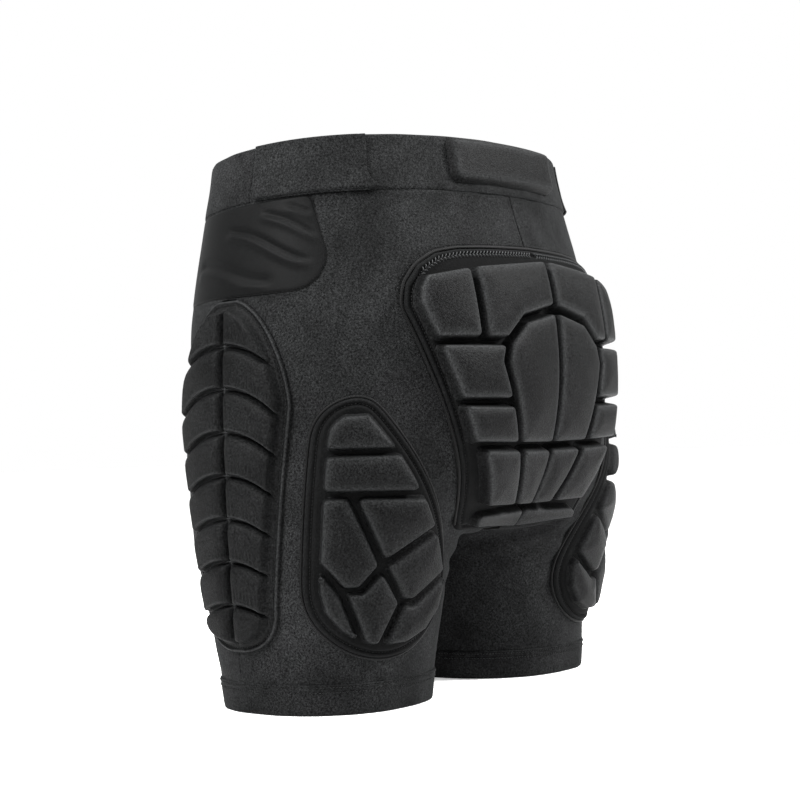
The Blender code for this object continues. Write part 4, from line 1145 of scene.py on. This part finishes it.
def thigh_pad():
    edge = thigh_edge()
    border = pillow(edge, BORDER_WALL, on_thigh, low=0.0004, step=0.0030, spacing=0.0014, radius=0.006,
                    painted_highlight_at=BORDER_PAINTED_HIGHLIGHT)
    both_sides("thigh_pad_backing", border, BACKER, ["SIDE_thigh_pad_backing"])
    for name, cell in thigh_cells().items():
        part = pillow(drawn_in(cell), THIGH_WALL, on_thigh, crown=0.0034, low=0.003, step=0.0022,
                      spacing=0.0012, radius=0.0052, painted_highlight_at=THIGH_PAINTED_HIGHLIGHT, shape=block_top)
        both_sides(f"thigh_{name}", part, FOAM, [f"SIDE_thigh_{name}"])
    ring = rounded(edge, 0.006, 0.0009)
    normal = inward(ring)
    rows = []
    for grow, height in THIGH_ROWS_SEWN:
        line = ring - normal * grow
        rows.append(stitches(*lifted(on_thigh, np.vstack([line, line[:1]]), height)))
    both_sides("thigh_pad_stitching", merged(rows), THREAD)
    cord = tube(*lifted(on_thigh, ring - normal * 0.0040, 0.0008), 0.0010, closed=True)
    both_sides("thigh_pad_piping", cord, TRIM)


def side_drop(y):
    reach = np.minimum(np.abs(y - SIDE_Y), HIP_DISC * 0.93)
    return HIP_DISC - np.sqrt(HIP_DISC**2 - reach**2)


# Profiles of the side pad in millimetres: distance from the edge, a groove or the spine, and what it gives.
SIDE_BORDER = ((0, 0.3, 0.8, 1.6, 2.4, 3.2, 3.8, 4.4, 5.0, 5.8, 6.8),
               (0.2, 1.9, 3.0, 3.6, 3.5, 2.8, 2.2, 2.3, 3.0, 3.5, 3.6))
SIDE_RISE_LOW = ((0.2, 0.7, 1.3, 2.0, 3.2, 5.0), (0.0, 0.42, 0.78, 0.93, 1.0, 1.0))
SIDE_RISE_HIGH = ((0.9, 1.4, 2.2, 3.4, 5.5, 9.0, 14.0), (0.0, 0.22, 0.50, 0.70, 0.85, 0.96, 1.0))
SIDE_COLUMN = ((0.9, 1.5, 2.4, 3.8, 6.0, 9.0), (0.0, 0.30, 0.62, 0.84, 0.96, 1.0))
SIDE_BULK = 0.0082      # height of the rows over the border
SIDE_WEB = 0.0010       # height of the raised webs in the grooves
TUCK_PITCH = 0.0031     # width of the fine tucks behind the spine
TUCK_DEPTH = 0.00016


def side_levels(grooves):
    """Row heights of the side pad's grid, closer beside the grooves and the ends."""
    low, high = SIDE_SPAN
    near = np.array([0, 0.35, 0.7, 1.05, 1.4, 1.8, 2.3, 2.9, 3.6, 4.4]) * MM
    levels = set(np.round(np.concatenate([np.arange(low, high, 0.0012), [high]]), 5))
    for g in grooves:
        levels = {v for v in levels if abs(v - g) > 0.0050}
        levels |= {round(g + d, 6) for d in near} | {round(g - d, 6) for d in near}
    ends = np.array([0, 0.12, 0.3, 0.55, 0.9, 1.3, 1.8, 2.4, 3.1]) * MM
    levels = {v for v in levels if low + 0.0035 < v < high - 0.0035}
    return np.array(sorted(levels | {low + d for d in ends} | {high - d for d in ends}))


def side_columns():
    """Columns of that grid from -1 at one edge to 1 at the other, closer beside the spine and the edges."""
    spine = np.array([0, 0.35, 0.7, 1.1, 1.5, 2.0, 2.6, 3.2]) * MM / 0.055
    rim = 1 - np.array([0.105, 0.09, 0.075, 0.06, 0.045, 0.03, 0.018, 0.009, 0.003, 0])
    half = np.concatenate([spine, np.linspace(0.072, 0.88, 62), rim])
    return np.concatenate([-half[:0:-1], half])


def side_pad():
    """Molded side pad: two columns of overlapping rows between fine raised webs, inside a double border."""
    grooves = [SIDE_TOP_GROOVE - SIDE_PITCH * k for k in range(6, -1, -1)]
    low, high = SIDE_SPAN
    levels = side_levels(grooves)
    v, a = np.meshgrid(levels, side_columns(), indexing="ij")
    y = SIDE_Y + a * np.vectorize(side_half)(v)
    z = v - side_drop(y)
    halves = np.array([side_half(t) for t in levels])
    outline = np.concatenate([np.stack([SIDE_Y - halves, levels], axis=1),
                              np.stack([SIDE_Y + halves, levels], axis=1)[::-1]])
    outline[:, 1] -= side_drop(outline[:, 0])
    edge = np.abs(edge_gap(np.stack([y, z], axis=-1), outline)).reshape(y.shape)
    bounds = np.array([low - 0.001, *grooves, high + 0.001])
    cell = np.clip(np.searchsorted(bounds, v) - 1, 0, len(bounds) - 2)
    up, down = v - bounds[cell], bounds[cell + 1] - v
    first_row, last_row = cell == 0, cell == len(bounds) - 2
    from_spine = np.abs(y - SIDE_Y)

    def profile(distance, table):
        return np.interp(distance, np.array(table[0]) * MM, table[1])

    inside = ease((edge - 0.0062) / 0.0050)
    bulk = np.where(first_row, 1.0, profile(up, SIDE_RISE_LOW)) \
        * np.where(last_row, 1.0, profile(down, SIDE_RISE_HIGH)) * profile(from_spine, SIDE_COLUMN) * inside
    sag = 1.0 - 0.10 * ease(down / 0.03)
    height = profile(edge, SIDE_BORDER) * MM + SIDE_BULK * bulk * sag
    groove_gap = np.minimum(np.where(first_row, 1.0, up), np.where(last_row, 1.0, down))
    web = np.exp(-(np.minimum(groove_gap, from_spine + 0.0001) / 0.0005)**2)
    height += SIDE_WEB * web * ease((edge - 0.0050) / 0.003)
    tuck = np.sin(2 * math.pi * (y - SIDE_Y) / TUCK_PITCH + 1.5 * np.sin(90 * v))
    height += TUCK_DEPTH * tuck * np.exp(-((up - 0.008) / 0.006)**2) * bulk * (y > SIDE_Y)
    # Painted highlight: light lines along the raised webs, just inside the border, and along the crest just
    # above each row's lower groove.
    painted_highlight = 0.75 * web * inside + 0.5 * np.exp(-((edge - 0.0015) / 0.0008)**2) \
        + 0.35 * np.exp(-((up - 0.0022) / 0.0009)**2) * bulk
    part = slab(on_side(y, z, height), on_side(y, z, np.full(z.shape, 0.0003)), painted_highlight)
    both_sides("side_pad", part, FOAM, ["SIDE_side_pad_lower", "SIDE_side_pad_upper"])
    ring = evenly(outline, 0.0009)
    normal = softened(inward(ring) * (1 if turns_left(ring) else -1), 8)
    rows = stitches(*lifted(on_side, ring + normal * 0.0039, 0.0023))
    both_sides("side_pad_stitching", rows, THREAD)


INSERT_WALL = [(-0.0004, -0.0016), (0.0, -0.0006), (0.0005, 0.0002), (0.0011, 0.0006), (0.0020, 0.0007)]
# Creases of the insert, fanning from its upper rear corner: start and end (y, z), depth and half width.
CREASES = [((-0.024, 0.353), (0.056, 0.324), 0.0024, 0.0021),
           ((0.008, 0.362), (0.058, 0.338), 0.0019, 0.0018),
           ((0.026, 0.366), (0.056, 0.349), 0.0013, 0.0015),
           ((0.038, 0.368), (0.052, 0.358), 0.0009, 0.0011),
           ((-0.060, 0.330), (0.030, 0.312), 0.0016, 0.0036)]


def hip_insert():
    outline = insert_outline()

    def crease(points, gap):
        s, z = points[:, 0], points[:, 1]
        made = np.zeros(len(s))
        for (y0, z0), (y1, z1), depth, width in CREASES:
            s0, s1 = arc_of(side_angle(np.array([y0, y1]), np.array([z0, z1])))
            ds, dz = s1 - s0, z1 - z0
            length = math.hypot(ds, dz)
            along = ((s - s0) * ds + (z - z0) * dz) / length
            across = ((s - s0) * dz - (z - z0) * ds) / length + 0.003 * np.sin(along * 60)
            fade = ease(along / 0.012) * ease((length - along) / 0.014)
            made -= depth * fade * np.exp(-(across / width)**2)
            made += 0.75 * depth * fade * np.exp(-((across - 1.9 * width) / (1.5 * width))**2)
        return made * ease(gap / 0.004)

    part = pillow(outline, INSERT_WALL, on_hip, low=-0.0019, step=0.0021, spacing=0.0015, radius=0.008,
                  shape=crease)
    both_sides("hip_insert", part, STRETCH, ["SIDE_hip_insert"], ride="hips")
    ring = rounded(outline, 0.008, 0.0009)
    keep = ring[:, 1] < BAND_SEAM - 0.002
    start = int(np.argmax(keep & ~np.roll(keep, 1)))
    ring = np.roll(ring, -start, axis=0)[:int(keep.sum())]
    seam = tube(*lifted(on_hip, ring, 0.0001), 0.00035, sides=6)
    both_sides("hip_insert_seam", seam, DARK, ride="hips")


LUMBAR_HALF = 0.065
LUMBAR_SPAN = (0.3775, 0.4105)
LUMBAR_WALL = [(-0.0012, 0.0002), (-0.0009, 0.0014), (-0.0002, 0.0030), (0.0007, 0.0048),
               (0.0016, 0.0062), (0.0024, 0.0071), (0.0034, 0.0077), (0.0046, 0.0080)]
# Painted highlight of each lumbar wall ring, foot to rim: strongest near the rim.
LUMBAR_PAINTED_HIGHLIGHT = [0, 0, 0, 0, 0.15, 0.4, 0.5, 0.25]


def lumbar_pad():
    low_z, high_z = LUMBAR_SPAN
    outline = [(-LUMBAR_HALF, low_z), (LUMBAR_HALF, low_z), (LUMBAR_HALF, high_z), (-LUMBAR_HALF, high_z)]
    part = pillow(outline, LUMBAR_WALL, on_seat, crown=0.0007, radius=0.0065, painted_highlight_at=LUMBAR_PAINTED_HIGHLIGHT)
    on_hips("lumbar_pad", part, FOAM)


GUSSET_HALF = 0.0125
# The strip's run down the front and up the back: its upper end, two angles that bracket it, and its rows.
GUSSET_RUNS = ((0.1660, 272, 360, range(40, -1, -1)), (0.1236, 182, 268, range(1, 27)))


def gusset():
    """Smooth strip under the crotch, lapped over both leg openings' seam."""
    across = np.linspace(0.0, GUSSET_HALF, 9)
    lowest = CROTCH - LEG_GAP_HIGH + np.sqrt(LEG_GAP_HIGH**2 - across**2)
    base, normal = [], []
    for top, low, high, steps in GUSSET_RUNS:
        for step in steps:
            z = lowest + (top - lowest) * (step / max(steps))**2
            angle = np.full(len(z), math.radians(270))
            if step:
                angle = angle_at(z, (1, 0, 0), across, low, high)
            base.append(skin(z, angle))
            normal.append(outward(z, angle))
    base, normal = np.array(base), np.array(normal)
    normal[:, 0, 0] = 0
    base[:, :, 0] = across
    full = rounded_rim(GUSSET_HALF - across, 0.0012)

    def both(height):
        left = base + normal * np.asarray(height)[..., None]
        return np.concatenate([(left * (-1, 1, 1))[:, :0:-1], left], axis=1)

    on_hips("crotch_gusset", slab(both(0.0011 * full), both(-0.0006)), STRETCH)


# ---- assembly ------------------------------------------------------------------------------------
both_sides("fabric_shell", fabric_shell(), KNIT,
           ["SIDE_front_panel", "SIDE_seat_panel", "SIDE_leg_sleeve", "SIDE_hip_crease"])
both_sides("leg_hem", leg_hem(), KNIT, ["SIDE_leg_hem"])
both_sides("hem_stitching", hem_rows(), THREAD)
split = float(side_angle(BAND_SPLIT_Y, 0.39))
for which, start, stop, count in (("front", -split, split, 300), ("rear", split, 2 * math.pi - split, 340)):
    on_hips(f"{which}_waistband", waistband(which, start, stop, count), KNIT)
both_sides("waist_tab", waist_tab(), KNIT, ["SIDE_waist_tab"], ride="SIDE_tab")
both_sides("loop_patch", loop_patch(), HOOK, ["SIDE_loop_patch"], ride="hips")
lumbar_pad()
hip_insert()
seat_pad()
seat_trim()
thigh_pad()
side_pad()
gusset()


# ---- studio --------------------------------------------------------------------------------------
# Lamps: name, place, what it points at, size, and power in watts.
LAMPS = (("key", (-0.80, 1.20, 1.25), (0, 0.05, 0.25), 0.5, 84),
         ("top", (0.25, 0.15, 1.7), (0, 0, 0.2), 0.6, 38),
         ("fill", (1.20, -0.25, 1.20), (0, 0, 0.25), 0.5, 62))
CAMERA_PLACE = (1.190, 0.8825, 0.198)
CAMERA_AIM = (0.0, -0.0142, 0.198)
CAMERA_ROLL = math.radians(-2.0)
CAMERA_LENS = 83.8
CAMERA_SHIFT = 0.04375
WHITE = (1.0, 1.0, 1.0, 1.0)


def aimed(place, aim):
    """Rotation of a lamp or camera at `place` that looks at `aim`."""
    return (Vector(aim) - Vector(place)).to_track_quat("-Z", "Y")


def studio():
    """White floor and surroundings, three soft lamps, and the camera at the photo's angle."""
    scene = bpy.context.scene
    bpy.ops.mesh.primitive_circle_add(vertices=96, radius=14, fill_type="NGON", location=(0, 0, -0.0004))
    floor = bpy.context.object
    floor.name = "studio_floor"
    made, _, shader = nodes_of("studio_floor")
    dial(shader, Base_Color=(0.90, 0.90, 0.90, 1.0), Roughness=0.95, Emission_Color=WHITE,
         Emission_Strength=0.35)
    floor.data.materials.append(made)

    world = bpy.data.worlds.new("studio")
    scene.world = world
    world.use_nodes = True
    world.node_tree.nodes["Background"].inputs[0].default_value = WHITE

    for name, place, aim, size, power in LAMPS:
        data = bpy.data.lights.new(name, "AREA")
        data.shape = "DISK"
        data.size = size
        data.energy = power
        lamp = bpy.data.objects.new(name, data)
        lamp.location = place
        lamp.rotation_euler = aimed(place, aim).to_euler()
        scene.collection.objects.link(lamp)

    data = bpy.data.cameras.new("photo_view")
    camera = bpy.data.objects.new("photo_view", data)
    scene.collection.objects.link(camera)
    camera.location = CAMERA_PLACE
    camera.rotation_mode = "QUATERNION"
    facing = aimed(CAMERA_PLACE, CAMERA_AIM).to_matrix().to_4x4()
    camera.rotation_quaternion = (facing @ Matrix.Rotation(CAMERA_ROLL, 4, "Z")).to_quaternion()
    data.lens = CAMERA_LENS
    data.sensor_width = 36
    data.shift_y = CAMERA_SHIFT
    data.clip_start = 0.05
    scene.camera = camera
    scene.view_settings.view_transform = "Standard"


studio()
